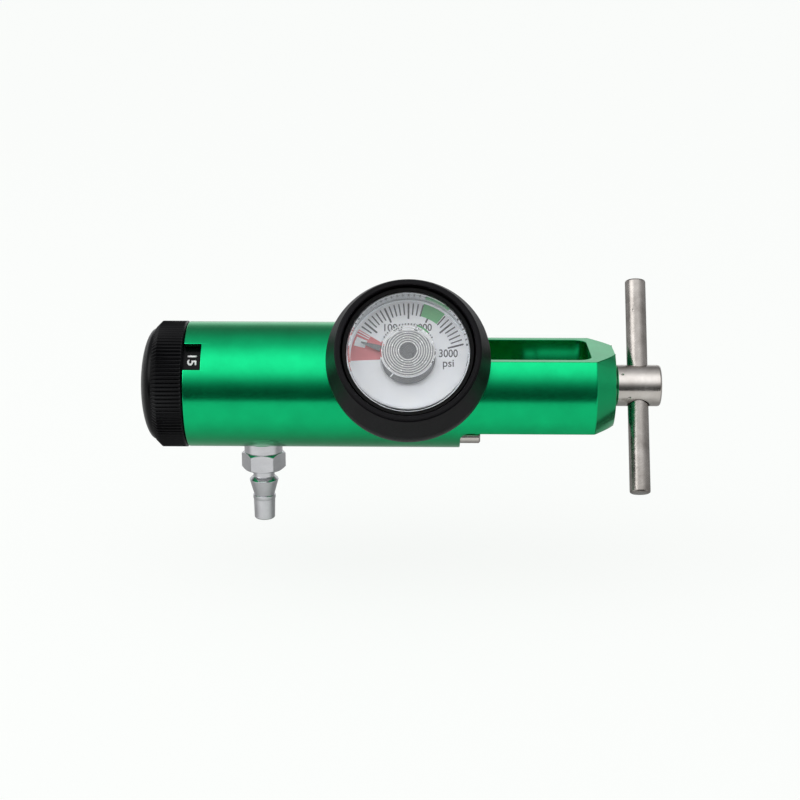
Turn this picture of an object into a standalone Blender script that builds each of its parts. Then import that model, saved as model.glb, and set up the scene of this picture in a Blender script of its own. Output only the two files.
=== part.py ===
"""A yoke-type oxygen regulator: bar body, contents gauge, click-stop flow knob and clamp handle.

Metres throughout. The bar lies along X, with the flow knob at -X and the clamp handle at +X. Z is the
normal of the yoke's flats, and the gauge faces -Y and up. The origin is on the bar's axis, in the face
that the cylinder valve seats against.
"""

import math

import bmesh
import bpy
from mathutils import Matrix, Vector

# Clearance left between pieces that touch on the real object
GAP = 0.0003

# Bar and yoke
BAR_RADIUS = 0.01746
BODY_LENGTH = 0.0754
YOKE_LENGTH = 0.0426
YOKE_HALF_THICKNESS = 0.01022
SHOULDER_FILLET = 0.0024
SLOT_LENGTH = 0.0357
SLOT_HALF_WIDTH = 0.0115
SLOT_CORNER = 0.0035
CONE_LENGTH = 0.0059
CONE_END_RADIUS = 0.01137
EDGE_BREAK = 0.0003
WINDOW_LENGTH = 0.00475
WINDOW_HALF_WIDTH = 0.00394
WINDOW_ANGLE = math.radians(40.4)
VENT_RADIUS = 0.0008
BAR_WALL = 0.00326

# Inlet
NIPPLE_RADIUS = 0.0031
NIPPLE_REACH = 0.0048
NIPPLE_THREAD_RADIUS = 0.004
NIPPLE_THREAD_LENGTH = 0.0087
NIPPLE_BORE_RADIUS = 0.001
FILTER_RADIUS = 0.0017
FILTER_DEPTH = 0.003
WASHER_OUTER_RADIUS = 0.00555
WASHER_THICKNESS = 0.0024
PIN_RADIUS = 0.002
PIN_REACH = 0.0057
PIN_SEAT_DEPTH = 0.006
PIN_CIRCLE_RADIUS = 0.0143
PIN_HALF_ANGLE = math.radians(18.0)

# Brass sleeve, which is a cup with a nose that carries the high pressure
SLEEVE_WALL = 0.0015
SLEEVE_FLOOR = 0.003
NOSE_RADIUS = 0.0085
NOSE_COVER = 0.004
NOZZLE_DISTANCE = 0.0205

# Piston
PISTON_TRAVEL = 0.0007
PISTON_STEM_RADIUS = 0.0038
PISTON_HEAD_THICKNESS = 0.005
PISTON_BORE_RADIUS = 0.001
PISTON_SEAT_RADIUS = 0.0025
PISTON_SEAT_THICKNESS = 0.0018
O_RING_GROOVE_DEPTH = 0.0013
O_RING_GROOVE_WIDTH = 0.0018
STEM_RING_COVER = 0.0035
SPRING_WIRE_RADIUS = 0.0009
SPRING_COIL_RADIUS = 0.0085
SPRING_PITCH = 0.0021

# Flow metering
SEAT_BLOCK_THICKNESS = 0.0054
SEAT_BOSS_RADIUS = 0.006
SEAT_BOSS_HEIGHT = 0.0007
PORT_CIRCLE_RADIUS = 0.0075
PORT_RADIUS = 0.0012
PORT_RING_RADIUS = 0.002
PORT_RING_WIRE = 0.00045
PLATE_CLEARANCE = 0.0011
PLATE_THICKNESS = 0.0014
FLOW_SETTINGS = 12
ORIFICE_SMALLEST = 0.00025
ORIFICE_LARGEST = 0.0008
SPINDLE_RADIUS = 0.003
SPINDLE_FLAT = 0.0021
SPINDLE_COLLAR_RADIUS = 0.0046
SPINDLE_COLLAR_LENGTH = 0.0019
SPINDLE_PILOT_RADIUS = 0.0019
SPINDLE_PILOT_LENGTH = 0.0024
CAP_LENGTH = 0.0162
CAP_SETBACK = 0.00215
CAP_FLANGE_SETBACK = 0.0092
CAP_FLANGE_THICKNESS = 0.0015
STOP_PIN_RADIUS = 0.0008
STOP_PIN_CLEARANCE = 0.0013
STOP_PIN_OFF_HUB = 0.0011
STOP_LUG_OFF_HUB = 0.0002
STOP_PIN_DEPTH = 0.0039
STOP_PIN_REACH = 0.0053
DETENT_CIRCLE_RADIUS = 0.0065
DETENT_ANGLE = math.radians(-60.0)
BALL_RADIUS = 0.0015
DIMPLE_DEPTH = 0.0006
DIMPLE_RADIUS = 0.0012
DETENT_POCKET_DEPTH = 0.0062
DETENT_WIRE_RADIUS = 0.00025
DETENT_TURNS = 3

# Flow knob
KNOB_OVERHANG = 0.00014
KNOB_RING_LENGTH = 0.0071
KNOB_CHAMFER = 0.00155
KNOB_DOME_HEIGHT = 0.0044
KNOB_RIBS = 96
KNOB_GROOVE_DEPTH = 0.0004
WINDOW_WALL = 0.00186
SKIRT_WALL = 0.0023
SKIRT_LENGTH = 0.009
WEB_FACE_SETBACK = 0.0017
KNOB_SOCKET_DEPTH = 0.0054
SCREW_HEAD_RADIUS = 0.0027
SCREW_HEAD_HEIGHT = 0.0027
SCREW_SHANK_RADIUS = 0.0013
SCREW_SHANK_LENGTH = 0.0099
SCREW_HEAD_SUNK = 0.0006
SCREW_KEY_ACROSS_FLATS = 0.0025

# Outlet
OUTLET_SETBACK = 0.0201
OUTLET_THREAD_RADIUS = 0.0039
OUTLET_BORE_RADIUS = 0.0016
COLLAR_RADIUS = 0.00537
COLLAR_REACH = 0.00214
HEX_ACROSS_FLATS = 0.0108
HEX_HEIGHT = 0.005
HEX_CHAMFER_ANGLE = math.radians(35.0)
NECK_RADIUS = 0.003
NECK_LENGTH = 0.0021
BARB_EDGE_RADIUS = 0.0041
BARB_EDGE_DROP = 0.0011
BARB_WAIST_RADIUS = 0.00285
BARB_LENGTH = 0.0045
TIP_STEP_RADIUS = 0.00318
TIP_STEP_LENGTH = 0.0012
TIP_END_RADIUS = 0.0029
TIP_LENGTH = 0.0059
SPOT_FACE_DEPTH = 0.00036

# Clamp
HUB_RADIUS = 0.00577
HUB_LENGTH = 0.0124
HUB_STANDOFF = 0.0008
HUB_ROUNDING = 0.0008
SHANK_RADIUS = 0.0046
SHANK_LENGTH = 0.0208
SWIVEL_NECK_RADIUS = 0.0019
SWIVEL_HEAD_RADIUS = 0.0025
SWIVEL_HEAD_LENGTH = 0.0008
SWIVEL_TIP_RADIUS = 0.0042
SWIVEL_TIP_LENGTH = 0.0053
SWIVEL_POINT_LENGTH = 0.0022
BAR_HANDLE_RADIUS = 0.00288
BAR_HANDLE_LENGTH = 0.0612
BAR_HANDLE_CHAMFER = 0.0006
BAR_HANDLE_LEAN = math.radians(28.9)

# Gauge, measured outwards along its own axis from the bar's axis
GAUGE_X = -0.0142
GAUGE_ELEVATION = math.radians(29.0)
GAUGE_STEM_RADIUS = 0.0047
GAUGE_STEM_START = 0.0033
BOOT_STANDOFF = 0.00204
BOOT_FLOOR = 0.0004
BOOT_REAR_INSET = 0.0047
BOOT_REAR_DEPTH = 0.006
BOOT_BELLY_LENGTH = 0.0032
BOOT_BELLY_SWELL = 0.0001
BOOT_WALL = 0.0043
BOOT_LIP_WALL = 0.00135
BOOT_LIP_OVERHANG = 0.0017
BOOT_LIP_CREASE = 0.00035
CASE_RADIUS = 0.0173
CASE_WALL = 0.00115
CASE_FLOOR_THICKNESS = 0.001
CASE_RIM_HEIGHT = 0.0082
CASE_LEDGE = 0.0011
DIAL_CLEARANCE = 0.0012
DIAL_THICKNESS = 0.0004
LENS_PROUD = 0.0006
LENS_THICKNESS = 0.0019
LENS_CLEARANCE = 0.0004
LENS_BEVEL = 0.0006
LENS_BOSS_RADIUS = 0.007
LENS_BOSS_SINK = 0.0003
POINTER_CLEARANCE = 0.0009
POINTER_THICKNESS = 0.0004
POINTER_DISC_RADIUS = 0.0072
POINTER_REACH = 0.0131
POINTER_HALF_WIDTH = 0.0009
POINTER_REST_ANGLE = math.radians(-72.0)
POINTER_HUB_RADIUS = 0.0016
POINTER_HUB_HEIGHT = 0.0008

# Gauge movement
SOCKET_THICKNESS = 0.0018
SOCKET_RADIUS = 0.005
SOCKET_ARM_HALF_WIDTH = 0.0022
SOCKET_ARM_REACH = 0.014
SOCKET_ARM_HEIGHT = 0.0047
TUBE_RADIUS = 0.0126
TUBE_HALF_WIDTH = 0.0015
TUBE_HALF_THICKNESS = 0.0007
TUBE_HEIGHT = 0.0028
TUBE_TIP_ANGLE = math.radians(85.0)
PLATE_SHEET = 0.0005
MOVEMENT_GEAR_SPACE = 0.0018
GEAR_THICKNESS = 0.0012
GEAR_MODULE = 0.00035
PINION_TEETH = 8
SECTOR_TEETH = 44
SECTOR_ANGLE = math.radians(135.0)
TOOTH_WIDTH = 0.00036
ARBOR_RADIUS = 0.0006
SECTOR_ARBOR_RADIUS = 0.0005
MOVEMENT_CENTRE_RADIUS = 0.0046
MOVEMENT_PIVOT_RADIUS = 0.0024
POST_RADIUS = 0.0007
POST_DISTANCE = 0.0035
SECTOR_HUB_RADIUS = 0.0014
TAIL_LENGTH = 0.004
TAIL_HALF_WIDTH = 0.0009
LINK_THICKNESS = 0.0005
LINK_PIN_RADIUS = 0.0004

# Facets round a circle
BAR_SIDES = 56
KNOB_SIDES = 44
BORE_SIDES = 28
OPEN_SIDES = 20
GAUGE_SIDES = 34
CORE_SIDES = 14
SMALL_SIDES = 16
TINY_SIDES = 8

# Radii that several pieces share
SLEEVE_RADIUS = BAR_RADIUS - BAR_WALL - GAP
SLEEVE_RADIUS_INSIDE = SLEEVE_RADIUS - SLEEVE_WALL
CORE_RADIUS = SLEEVE_RADIUS_INSIDE - GAP
PLATE_RADIUS = CORE_RADIUS - PLATE_CLEARANCE
STEM_BORE_RADIUS = PISTON_STEM_RADIUS + GAP
KNOB_RADIUS = BAR_RADIUS + KNOB_OVERHANG
DOME_RADIUS = KNOB_RADIUS - KNOB_CHAMFER
SKIRT_RADIUS = BAR_RADIUS - WINDOW_WALL - GAP
SKIRT_RADIUS_INSIDE = SKIRT_RADIUS - SKIRT_WALL
STOP_CIRCLE_RADIUS = SKIRT_RADIUS_INSIDE - STOP_PIN_CLEARANCE - STOP_PIN_RADIUS
CAP_HUB_RADIUS = STOP_CIRCLE_RADIUS - STOP_PIN_RADIUS - STOP_PIN_OFF_HUB
COLLAR_BOTTOM = BAR_RADIUS + COLLAR_REACH
SPOT_FACE_HEIGHT = BAR_RADIUS - SPOT_FACE_DEPTH

# Stations along X, from the knob's end of the body inwards
BODY_LEFT = -BODY_LENGTH
FLANGE_LEFT = BODY_LEFT + CAP_FLANGE_SETBACK
FLANGE_RIGHT = FLANGE_LEFT + CAP_FLANGE_THICKNESS
SLEEVE_LEFT = FLANGE_RIGHT + GAP
SKIRT_BORE_END = FLANGE_LEFT - GAP / 3
CAP_LEFT = BODY_LEFT + CAP_SETBACK
CAP_RIGHT = CAP_LEFT + CAP_LENGTH
COLLAR_LEFT = CAP_RIGHT + GAP
PLATE_LEFT = COLLAR_LEFT + SPINDLE_COLLAR_LENGTH + GAP
PLATE_RIGHT = PLATE_LEFT + PLATE_THICKNESS
BLOCK_LEFT = PLATE_RIGHT + PORT_RING_WIRE + GAP
BLOCK_RIGHT = BLOCK_LEFT + SEAT_BLOCK_THICKNESS
PISTON_LEFT = BLOCK_RIGHT + SEAT_BOSS_HEIGHT + GAP
PISTON_HEAD_RIGHT = PISTON_LEFT + PISTON_HEAD_THICKNESS
OUTLET_X = BODY_LEFT + OUTLET_SETBACK

# The spring's seat lies halfway between the nozzle and the piston's head, so both give way alike
SPRING_SEAT = (PISTON_HEAD_RIGHT - NOZZLE_DISTANCE) / 2
SLEEVE_SHOULDER = SPRING_SEAT + SLEEVE_FLOOR
NOSE_RIGHT = -NOSE_COVER - GAP
STEM_RING = SPRING_SEAT + STEM_RING_COVER
SEAT_GAP = PISTON_TRAVEL + GAP
VENT_X = (SPRING_SEAT + PISTON_HEAD_RIGHT) / 2

# Stations of the knob and its spindle
KNOB_RIGHT = BODY_LEFT - GAP
SKIRT_RIGHT = KNOB_RIGHT + SKIRT_LENGTH
WEB_FACE = KNOB_RIGHT + WEB_FACE_SETBACK
RING_LEFT = KNOB_RIGHT - KNOB_RING_LENGTH
DOME_BASE = RING_LEFT - KNOB_CHAMFER
KNOB_LEFT = DOME_BASE - KNOB_DOME_HEIGHT
SOCKET_END = WEB_FACE - KNOB_SOCKET_DEPTH
SPINDLE_LEFT = SOCKET_END + GAP
FLAT_END = WEB_FACE + GAP
SPINDLE_PLATE_END = PLATE_RIGHT + GAP
SPINDLE_RIGHT = SPINDLE_PLATE_END + SPINDLE_PILOT_LENGTH
STOP_ANGLE = math.radians(150.0)
SETTING_STEP = 2 * math.pi / FLOW_SETTINGS

# Levels along the gauge's axis, from the bar outwards
BOOT_REAR = BAR_RADIUS + BOOT_STANDOFF
BOOT_BELLY = BOOT_REAR + BOOT_REAR_DEPTH
CASE_REAR = BOOT_REAR + BOOT_FLOOR + GAP
CASE_FLOOR = CASE_REAR + CASE_FLOOR_THICKNESS
SOCKET_LEVEL = CASE_FLOOR + GAP
SOCKET_TOP = SOCKET_LEVEL + SOCKET_THICKNESS
TUBE_LEVEL = SOCKET_LEVEL + TUBE_HEIGHT
BACK_PLATE_LEVEL = SOCKET_TOP + GAP
GEAR_LEVEL = BACK_PLATE_LEVEL + PLATE_SHEET + GAP
FRONT_PLATE_LEVEL = BACK_PLATE_LEVEL + PLATE_SHEET + MOVEMENT_GEAR_SPACE
LINK_LEVEL = GEAR_LEVEL + GEAR_THICKNESS + GAP
DIAL_LEVEL = FRONT_PLATE_LEVEL + PLATE_SHEET + DIAL_CLEARANCE
DIAL_FACE = DIAL_LEVEL + DIAL_THICKNESS
POINTER_LEVEL = DIAL_FACE + POINTER_CLEARANCE
CASE_RIM = DIAL_FACE + CASE_RIM_HEIGHT
LENS_FACE = CASE_RIM + LENS_PROUD
BOOT_LIP = CASE_RIM + BOOT_LIP_OVERHANG

# Radii of the gauge
CASE_INSIDE_RADIUS = CASE_RADIUS - CASE_WALL
DIAL_RADIUS = CASE_INSIDE_RADIUS - GAP
LENS_RADIUS = CASE_INSIDE_RADIUS - LENS_CLEARANCE
BOOT_INSIDE_RADIUS = CASE_RADIUS + GAP
BOOT_RADIUS = BOOT_INSIDE_RADIUS + BOOT_WALL
BOOT_REAR_RADIUS = BOOT_RADIUS - BOOT_REAR_INSET
BOOT_LIP_RADIUS = BOOT_INSIDE_RADIUS + BOOT_LIP_WALL
PINION_RADIUS = GEAR_MODULE * PINION_TEETH / 2
SECTOR_RADIUS = GEAR_MODULE * SECTOR_TEETH / 2
SECTOR_DISTANCE = PINION_RADIUS + SECTOR_RADIUS

PARTS = "oxygen_regulator"
CUTTERS = "oxygen_regulator_cutters"
ALONG_X = Matrix.Rotation(math.pi / 2, 4, "Y")


def clear_scene():
    for obj in list(bpy.data.objects):
        bpy.data.objects.remove(obj)


def new_collection(name):
    collection = bpy.data.collections.new(name)
    bpy.context.scene.collection.children.link(collection)
    return collection


def new_object(name, mesh, collection=PARTS):
    obj = bpy.data.objects.new(name, mesh)
    bpy.data.collections[collection].objects.link(obj)
    if collection == CUTTERS:
        obj.hide_render = True
        obj.display_type = "WIRE"
    return obj


def evaluated_mesh(obj):
    bpy.context.view_layer.update()
    graph = bpy.context.evaluated_depsgraph_get()
    return bpy.data.meshes.new_from_object(obj.evaluated_get(graph))


def shade(mesh):
    """Smooth, with creases at the corners of the section."""
    mesh.shade_smooth()
    mesh.set_sharp_from_angle(angle=math.radians(28.0))


def finish(obj, colour, roughness, metallic):
    """The piece's own Principled material."""
    material = bpy.data.materials.new(obj.name)
    material.use_nodes = True
    shader = material.node_tree.nodes["Principled BSDF"]
    shader.inputs["Base Color"].default_value = (*colour, 1.0)
    shader.inputs["Roughness"].default_value = roughness
    shader.inputs["Metallic"].default_value = metallic
    obj.data.materials.append(material)
    return obj


def steel(obj):
    return finish(obj, (0.55, 0.54, 0.52), 0.3, 1.0)


def brass(obj):
    return finish(obj, (0.62, 0.45, 0.2), 0.35, 1.0)


def black_rubber(obj):
    return finish(obj, (0.02, 0.02, 0.022), 0.5, 0.0)


def black_anodised(obj):
    return finish(obj, (0.012, 0.012, 0.013), 0.35, 0.6)


def merge_flat_ends(mesh):
    """Makes each flat end one face, where the turning left a fan of triangles."""
    solid = bmesh.new()
    solid.from_mesh(mesh)
    middles = [
        vert
        for vert in solid.verts
        if math.hypot(vert.co.x, vert.co.y) < 1e-7
        and all(abs(face.normal.z) > 0.9999 for face in vert.link_faces)
    ]
    bmesh.ops.dissolve_verts(solid, verts=middles)
    solid.to_mesh(mesh)
    solid.free()


def turned(name, profile, sides, place=ALONG_X, collection=PARTS, closed=False):
    """A turned piece from (radius, station) pairs that run down its outer side, highest station first."""
    mesh = bpy.data.meshes.new(name)
    edges = [(i, i + 1) for i in range(len(profile) - 1)]
    if closed:
        edges.append((len(profile) - 1, 0))
    mesh.from_pydata([(radius, 0.0, station) for radius, station in profile], edges, [])
    obj = new_object(name, mesh, collection)
    screw = obj.modifiers.new("turn", "SCREW")
    screw.axis = "Z"
    screw.angle = 2 * math.pi
    screw.steps = sides
    screw.render_steps = sides
    screw.use_merge_vertices = True
    screw.merge_threshold = 0.000001
    solid = evaluated_mesh(obj)
    merge_flat_ends(solid)
    obj.modifiers.clear()
    obj.data = solid
    # A round cutter is turned a little, so that its facets don't run along those that it cuts.
    if collection == CUTTERS and sides > 6:
        solid.transform(Matrix.Rotation(math.radians(1.1), 4, "Z"))
    solid.transform(place)
    shade(solid)
    return obj


def rod(name, radius, start, end, sides, place=ALONG_X, collection=PARTS, chamfer=0.0):
    """A plain cylinder from one station to a higher one, with both ends chamfered alike."""
    if chamfer == 0.0:
        profile = [(0.0, end), (radius, end), (radius, start), (0.0, start)]
    else:
        profile = [
            (0.0, end),
            (radius - chamfer, end),
            (radius, end - chamfer),
            (radius, start + chamfer),
            (radius - chamfer, start),
            (0.0, start),
        ]
    return turned(name, profile, sides, place, collection)


def ring(name, inner, outer, start, end, sides, place=ALONG_X, collection=PARTS):
    profile = [(inner, end), (outer, end), (outer, start), (inner, start)]
    return turned(name, profile, sides, place, collection, closed=True)


def box(name, low, high, place=None, collection=CUTTERS):
    """A cube primitive stretched between two corners."""
    mesh = bpy.data.meshes.new(name)
    solid = bmesh.new()
    bmesh.ops.create_cube(solid, size=1.0)
    for vert in solid.verts:
        vert.co = [high[i] if vert.co[i] > 0 else low[i] for i in range(3)]
    solid.to_mesh(mesh)
    solid.free()
    if place is not None:
        mesh.transform(place)
    return new_object(name, mesh, collection)


def is_upright(edge):
    return abs(edge.verts[0].co.z - edge.verts[1].co.z) > 0.001


def is_at(edge, x, z):
    return all(abs(vert.co.x - x) < 1e-6 and abs(vert.co.z - z) < 1e-6 for vert in edge.verts)


def bevel_edges(obj, chosen, radius, segments):
    """Rounds the edges that pass the test."""
    solid = bmesh.new()
    solid.from_mesh(obj.data)
    edges = [edge for edge in solid.edges if chosen(edge)]
    bmesh.ops.bevel(
        solid, geom=edges, offset=radius, segments=segments, profile=0.5, affect="EDGES"
    )
    solid.to_mesh(obj.data)
    solid.free()


def flat_shape(name, outline, start, end, place=None, collection=PARTS):
    """A closed 2D outline extruded between two heights."""
    curve = bpy.data.curves.new(name, "CURVE")
    curve.dimensions = "2D"
    curve.fill_mode = "BOTH"
    curve.extrude = (end - start) / 2
    spline = curve.splines.new("POLY")
    spline.points.add(len(outline) - 1)
    for point, (x, y) in zip(spline.points, outline):
        point.co = (x, y, 0.0, 1.0)
    spline.use_cyclic_u = True
    guide = new_object(name + "_outline", curve, CUTTERS)
    mesh = evaluated_mesh(guide)
    bpy.data.objects.remove(guide)
    mesh.transform(Matrix.Translation((0.0, 0.0, (start + end) / 2)))
    solid = bmesh.new()
    solid.from_mesh(mesh)
    bmesh.ops.remove_doubles(solid, verts=solid.verts, dist=0.0000005)
    bmesh.ops.recalc_face_normals(solid, faces=solid.faces)
    solid.to_mesh(mesh)
    solid.free()
    if place is not None:
        mesh.transform(place)
    mesh.materials.clear()
    shade(mesh)
    return new_object(name, mesh, collection)


def coil(name, wire, radius, start, end, turns, points_a_turn, place=ALONG_X):
    """A helical spring between two stations, measured over its wire."""
    curve = bpy.data.curves.new(name, "CURVE")
    curve.dimensions = "3D"
    curve.bevel_depth = wire
    curve.bevel_resolution = 1
    curve.use_fill_caps = True
    count = int(turns * points_a_turn) + 1
    spline = curve.splines.new("POLY")
    spline.points.add(count - 1)
    low = start + wire
    rise = end - wire - low
    for i, point in enumerate(spline.points):
        angle = 2 * math.pi * turns * i / (count - 1)
        height = low + rise * i / (count - 1)
        point.co = (radius * math.cos(angle), radius * math.sin(angle), height, 1.0)
    guide = new_object(name + "_path", curve, CUTTERS)
    mesh = evaluated_mesh(guide)
    bpy.data.objects.remove(guide)
    solid = bmesh.new()
    solid.from_mesh(mesh)
    bmesh.ops.remove_doubles(solid, verts=solid.verts, dist=0.0000005)
    solid.to_mesh(mesh)
    solid.free()
    mesh.transform(place)
    mesh.shade_smooth()
    return new_object(name, mesh)


def o_ring(name, centre_radius, wire, place):
    section = [
        (
            centre_radius + wire * math.cos(2 * math.pi * i / 6),
            -wire * math.sin(2 * math.pi * i / 6),
        )
        for i in range(6)
    ]
    sides = CORE_SIDES if centre_radius > 0.005 else SMALL_SIDES
    return turned(name, section, sides, place, closed=True)


def combine(obj, other, operation):
    modifier = obj.modifiers.new(operation.lower(), "BOOLEAN")
    modifier.operation = operation
    modifier.solver = "EXACT"
    modifier.object = other


def cut(obj, cutter):
    combine(obj, cutter, "DIFFERENCE")


def absorb(obj, addition):
    """Joins another solid to this one for good."""
    combine(obj, addition, "UNION")
    solid = evaluated_mesh(obj)
    obj.modifiers.clear()
    obj.data = solid
    bpy.data.objects.remove(addition)


def round_x(angle, radius, station=0.0):
    """A point at an angle about X, measured from -Y towards +Z."""
    return Vector((station, -radius * math.cos(angle), radius * math.sin(angle)))


def about_x(angle):
    """Turns what points along +Z so that it points at an angle about X, measured from -Y."""
    return Matrix.Rotation(math.pi / 2 - angle, 4, "X")


def shifted_along_x(point):
    """Lays a turned piece along X, about a line through this point."""
    return Matrix.Translation((0.0, point[1], point[2])) @ ALONG_X


def gauge_frame():
    """The gauge's own axes: x along the bar, y up its dial, z out of its face."""
    tilt = Matrix.Rotation(math.pi / 2 - GAUGE_ELEVATION, 4, "X")
    return Matrix.Translation((GAUGE_X, 0.0, 0.0)) @ tilt


def dial_point(angle, radius):
    """A point of the dial's plane at an angle clockwise from its top."""
    return Vector((radius * math.sin(angle), radius * math.cos(angle), 0.0))


def pin_point(side):
    angle = side * PIN_HALF_ANGLE
    return Vector((0.0, PIN_CIRCLE_RADIUS * math.sin(angle), -PIN_CIRCLE_RADIUS * math.cos(angle)))


def make_yoke_cutters():
    """The milled flats with their filleted shoulders, and the slot for the cylinder's valve."""
    past = 0.005
    cutters = []
    for side, name in ((1, "upper"), (-1, "lower")):
        near = YOKE_HALF_THICKNESS
        far = BAR_RADIUS + past
        low = (0.0, -far, near if side > 0 else -far)
        high = (YOKE_LENGTH + past, far, far if side > 0 else -near)
        flat = box("yoke_flat_" + name, low, high)
        bevel_edges(flat, lambda edge, z=side * near: is_at(edge, 0.0, z), SHOULDER_FILLET, 5)
        cutters.append(flat)
    slot = box(
        "yoke_slot",
        (0.0, -SLOT_HALF_WIDTH, -BAR_RADIUS - past),
        (SLOT_LENGTH, SLOT_HALF_WIDTH, BAR_RADIUS + past),
    )
    bevel_edges(slot, lambda edge: is_upright(edge) and edge.verts[0].co.x > 0.001, SLOT_CORNER, 5)
    cutters.append(slot)
    return cutters


def make_window_cutter():
    depth = BAR_RADIUS - (SKIRT_RADIUS + GAP)
    return box(
        "window_notch",
        (BODY_LEFT - 0.001, -WINDOW_HALF_WIDTH, BAR_RADIUS - 1.5 * depth),
        (BODY_LEFT + WINDOW_LENGTH, WINDOW_HALF_WIDTH, BAR_RADIUS + 0.002),
        about_x(WINDOW_ANGLE),
    )


def make_bore_cutter():
    """The stepped bore: the nipple's thread, the sleeve's nose, its cup and the knob's skirt."""
    past = 0.001
    profile = [
        (0.0, past),
        (NIPPLE_THREAD_RADIUS + GAP, past),
        (NIPPLE_THREAD_RADIUS + GAP, -NOSE_COVER),
        (NOSE_RADIUS + GAP, -NOSE_COVER),
        (NOSE_RADIUS + GAP, SLEEVE_SHOULDER + GAP),
        (SLEEVE_RADIUS + GAP, SLEEVE_SHOULDER + GAP),
        (SLEEVE_RADIUS + GAP, SKIRT_BORE_END),
        (SKIRT_RADIUS + GAP, SKIRT_BORE_END),
        (SKIRT_RADIUS + GAP, BODY_LEFT - past),
        (0.0, BODY_LEFT - past),
    ]
    return turned("body_bores", profile, BORE_SIDES, collection=CUTTERS)


def make_body():
    profile = [
        (0.0, YOKE_LENGTH),
        (CONE_END_RADIUS - EDGE_BREAK, YOKE_LENGTH),
        (CONE_END_RADIUS, YOKE_LENGTH - EDGE_BREAK),
        (BAR_RADIUS, YOKE_LENGTH - CONE_LENGTH),
        (BAR_RADIUS, BODY_LEFT + EDGE_BREAK),
        (BAR_RADIUS - EDGE_BREAK, BODY_LEFT),
        (0.0, BODY_LEFT),
    ]
    body = turned("regulator_body", profile, BAR_SIDES)
    cut(body, make_bore_cutter())
    for cutter in make_yoke_cutters():
        cut(body, cutter)
    cut(body, make_window_cutter())
    screw_hole = rod(
        "screw_hole",
        SHANK_RADIUS + GAP,
        SLOT_LENGTH - 0.001,
        YOKE_LENGTH + 0.001,
        OPEN_SIDES,
        collection=CUTTERS,
    )
    cut(body, screw_hole)
    for side, name in ((-1, "near"), (1, "far")):
        hole = rod(
            "pin_hole_" + name,
            PIN_RADIUS + GAP,
            -PIN_SEAT_DEPTH,
            0.001,
            SMALL_SIDES,
            shifted_along_x(pin_point(side)),
            CUTTERS,
        )
        cut(body, hole)
    gauge_hole = rod(
        "gauge_hole",
        GAUGE_STEM_RADIUS + GAP,
        NOSE_RADIUS / 2,
        BAR_RADIUS + 0.002,
        CORE_SIDES,
        gauge_frame(),
        CUTTERS,
    )
    cut(body, gauge_hole)
    vent = rod(
        "vent_hole",
        VENT_RADIUS,
        SLEEVE_RADIUS_INSIDE,
        BAR_RADIUS + 0.001,
        TINY_SIDES,
        Matrix.Translation((VENT_X, 0.0, 0.0)) @ about_x(math.pi),
        CUTTERS,
    )
    cut(body, vent)
    outlet_hole = turned(
        "outlet_hole",
        [
            (0.0, -SLEEVE_RADIUS_INSIDE),
            (OUTLET_THREAD_RADIUS + GAP, -SLEEVE_RADIUS_INSIDE),
            (OUTLET_THREAD_RADIUS + GAP, -SPOT_FACE_HEIGHT),
            (COLLAR_RADIUS + GAP, -SPOT_FACE_HEIGHT),
            (COLLAR_RADIUS + GAP, -BAR_RADIUS - 0.001),
            (0.0, -BAR_RADIUS - 0.001),
        ],
        CORE_SIDES,
        Matrix.Translation((OUTLET_X, 0.0, 0.0)),
        CUTTERS,
    )
    cut(body, outlet_hole)
    finish(body, (0.0, 0.38, 0.14), 0.3, 0.9)


def make_sleeve():
    socket_end = -NIPPLE_THREAD_LENGTH - GAP
    profile = [
        (NIPPLE_THREAD_RADIUS + GAP, NOSE_RIGHT),
        (NOSE_RADIUS, NOSE_RIGHT),
        (NOSE_RADIUS, SLEEVE_SHOULDER),
        (SLEEVE_RADIUS, SLEEVE_SHOULDER),
        (SLEEVE_RADIUS, SLEEVE_LEFT),
        (SLEEVE_RADIUS_INSIDE, SLEEVE_LEFT),
        (SLEEVE_RADIUS_INSIDE, SPRING_SEAT),
        (STEM_BORE_RADIUS, SPRING_SEAT),
        (STEM_BORE_RADIUS, -NOZZLE_DISTANCE),
        (NIPPLE_BORE_RADIUS, -NOZZLE_DISTANCE),
        (NIPPLE_BORE_RADIUS, socket_end),
        (NIPPLE_THREAD_RADIUS + GAP, socket_end),
    ]
    sleeve = turned("brass_sleeve", profile, CORE_SIDES, closed=True)
    port = turned(
        "gauge_port",
        [
            (0.0, NOSE_RADIUS + 0.001),
            (GAUGE_STEM_RADIUS + GAP, NOSE_RADIUS + 0.001),
            (GAUGE_STEM_RADIUS + GAP, GAUGE_STEM_START - GAP),
            (NIPPLE_BORE_RADIUS * 0.8, GAUGE_STEM_START - GAP),
            (NIPPLE_BORE_RADIUS * 0.8, 0.0),
            (0.0, 0.0),
        ],
        CORE_SIDES,
        gauge_frame(),
        CUTTERS,
    )
    cut(sleeve, port)
    outlet = rod(
        "sleeve_outlet_hole",
        OUTLET_THREAD_RADIUS + GAP,
        -SLEEVE_RADIUS - 0.001,
        -SLEEVE_RADIUS_INSIDE + 0.001,
        CORE_SIDES,
        Matrix.Translation((OUTLET_X, 0.0, 0.0)),
        CUTTERS,
    )
    cut(sleeve, outlet)
    vent = rod(
        "sleeve_vent_hole",
        VENT_RADIUS,
        SLEEVE_RADIUS_INSIDE - 0.001,
        SLEEVE_RADIUS + 0.001,
        TINY_SIDES,
        Matrix.Translation((VENT_X, 0.0, 0.0)) @ about_x(math.pi),
        CUTTERS,
    )
    cut(sleeve, vent)
    brass(sleeve)


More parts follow.
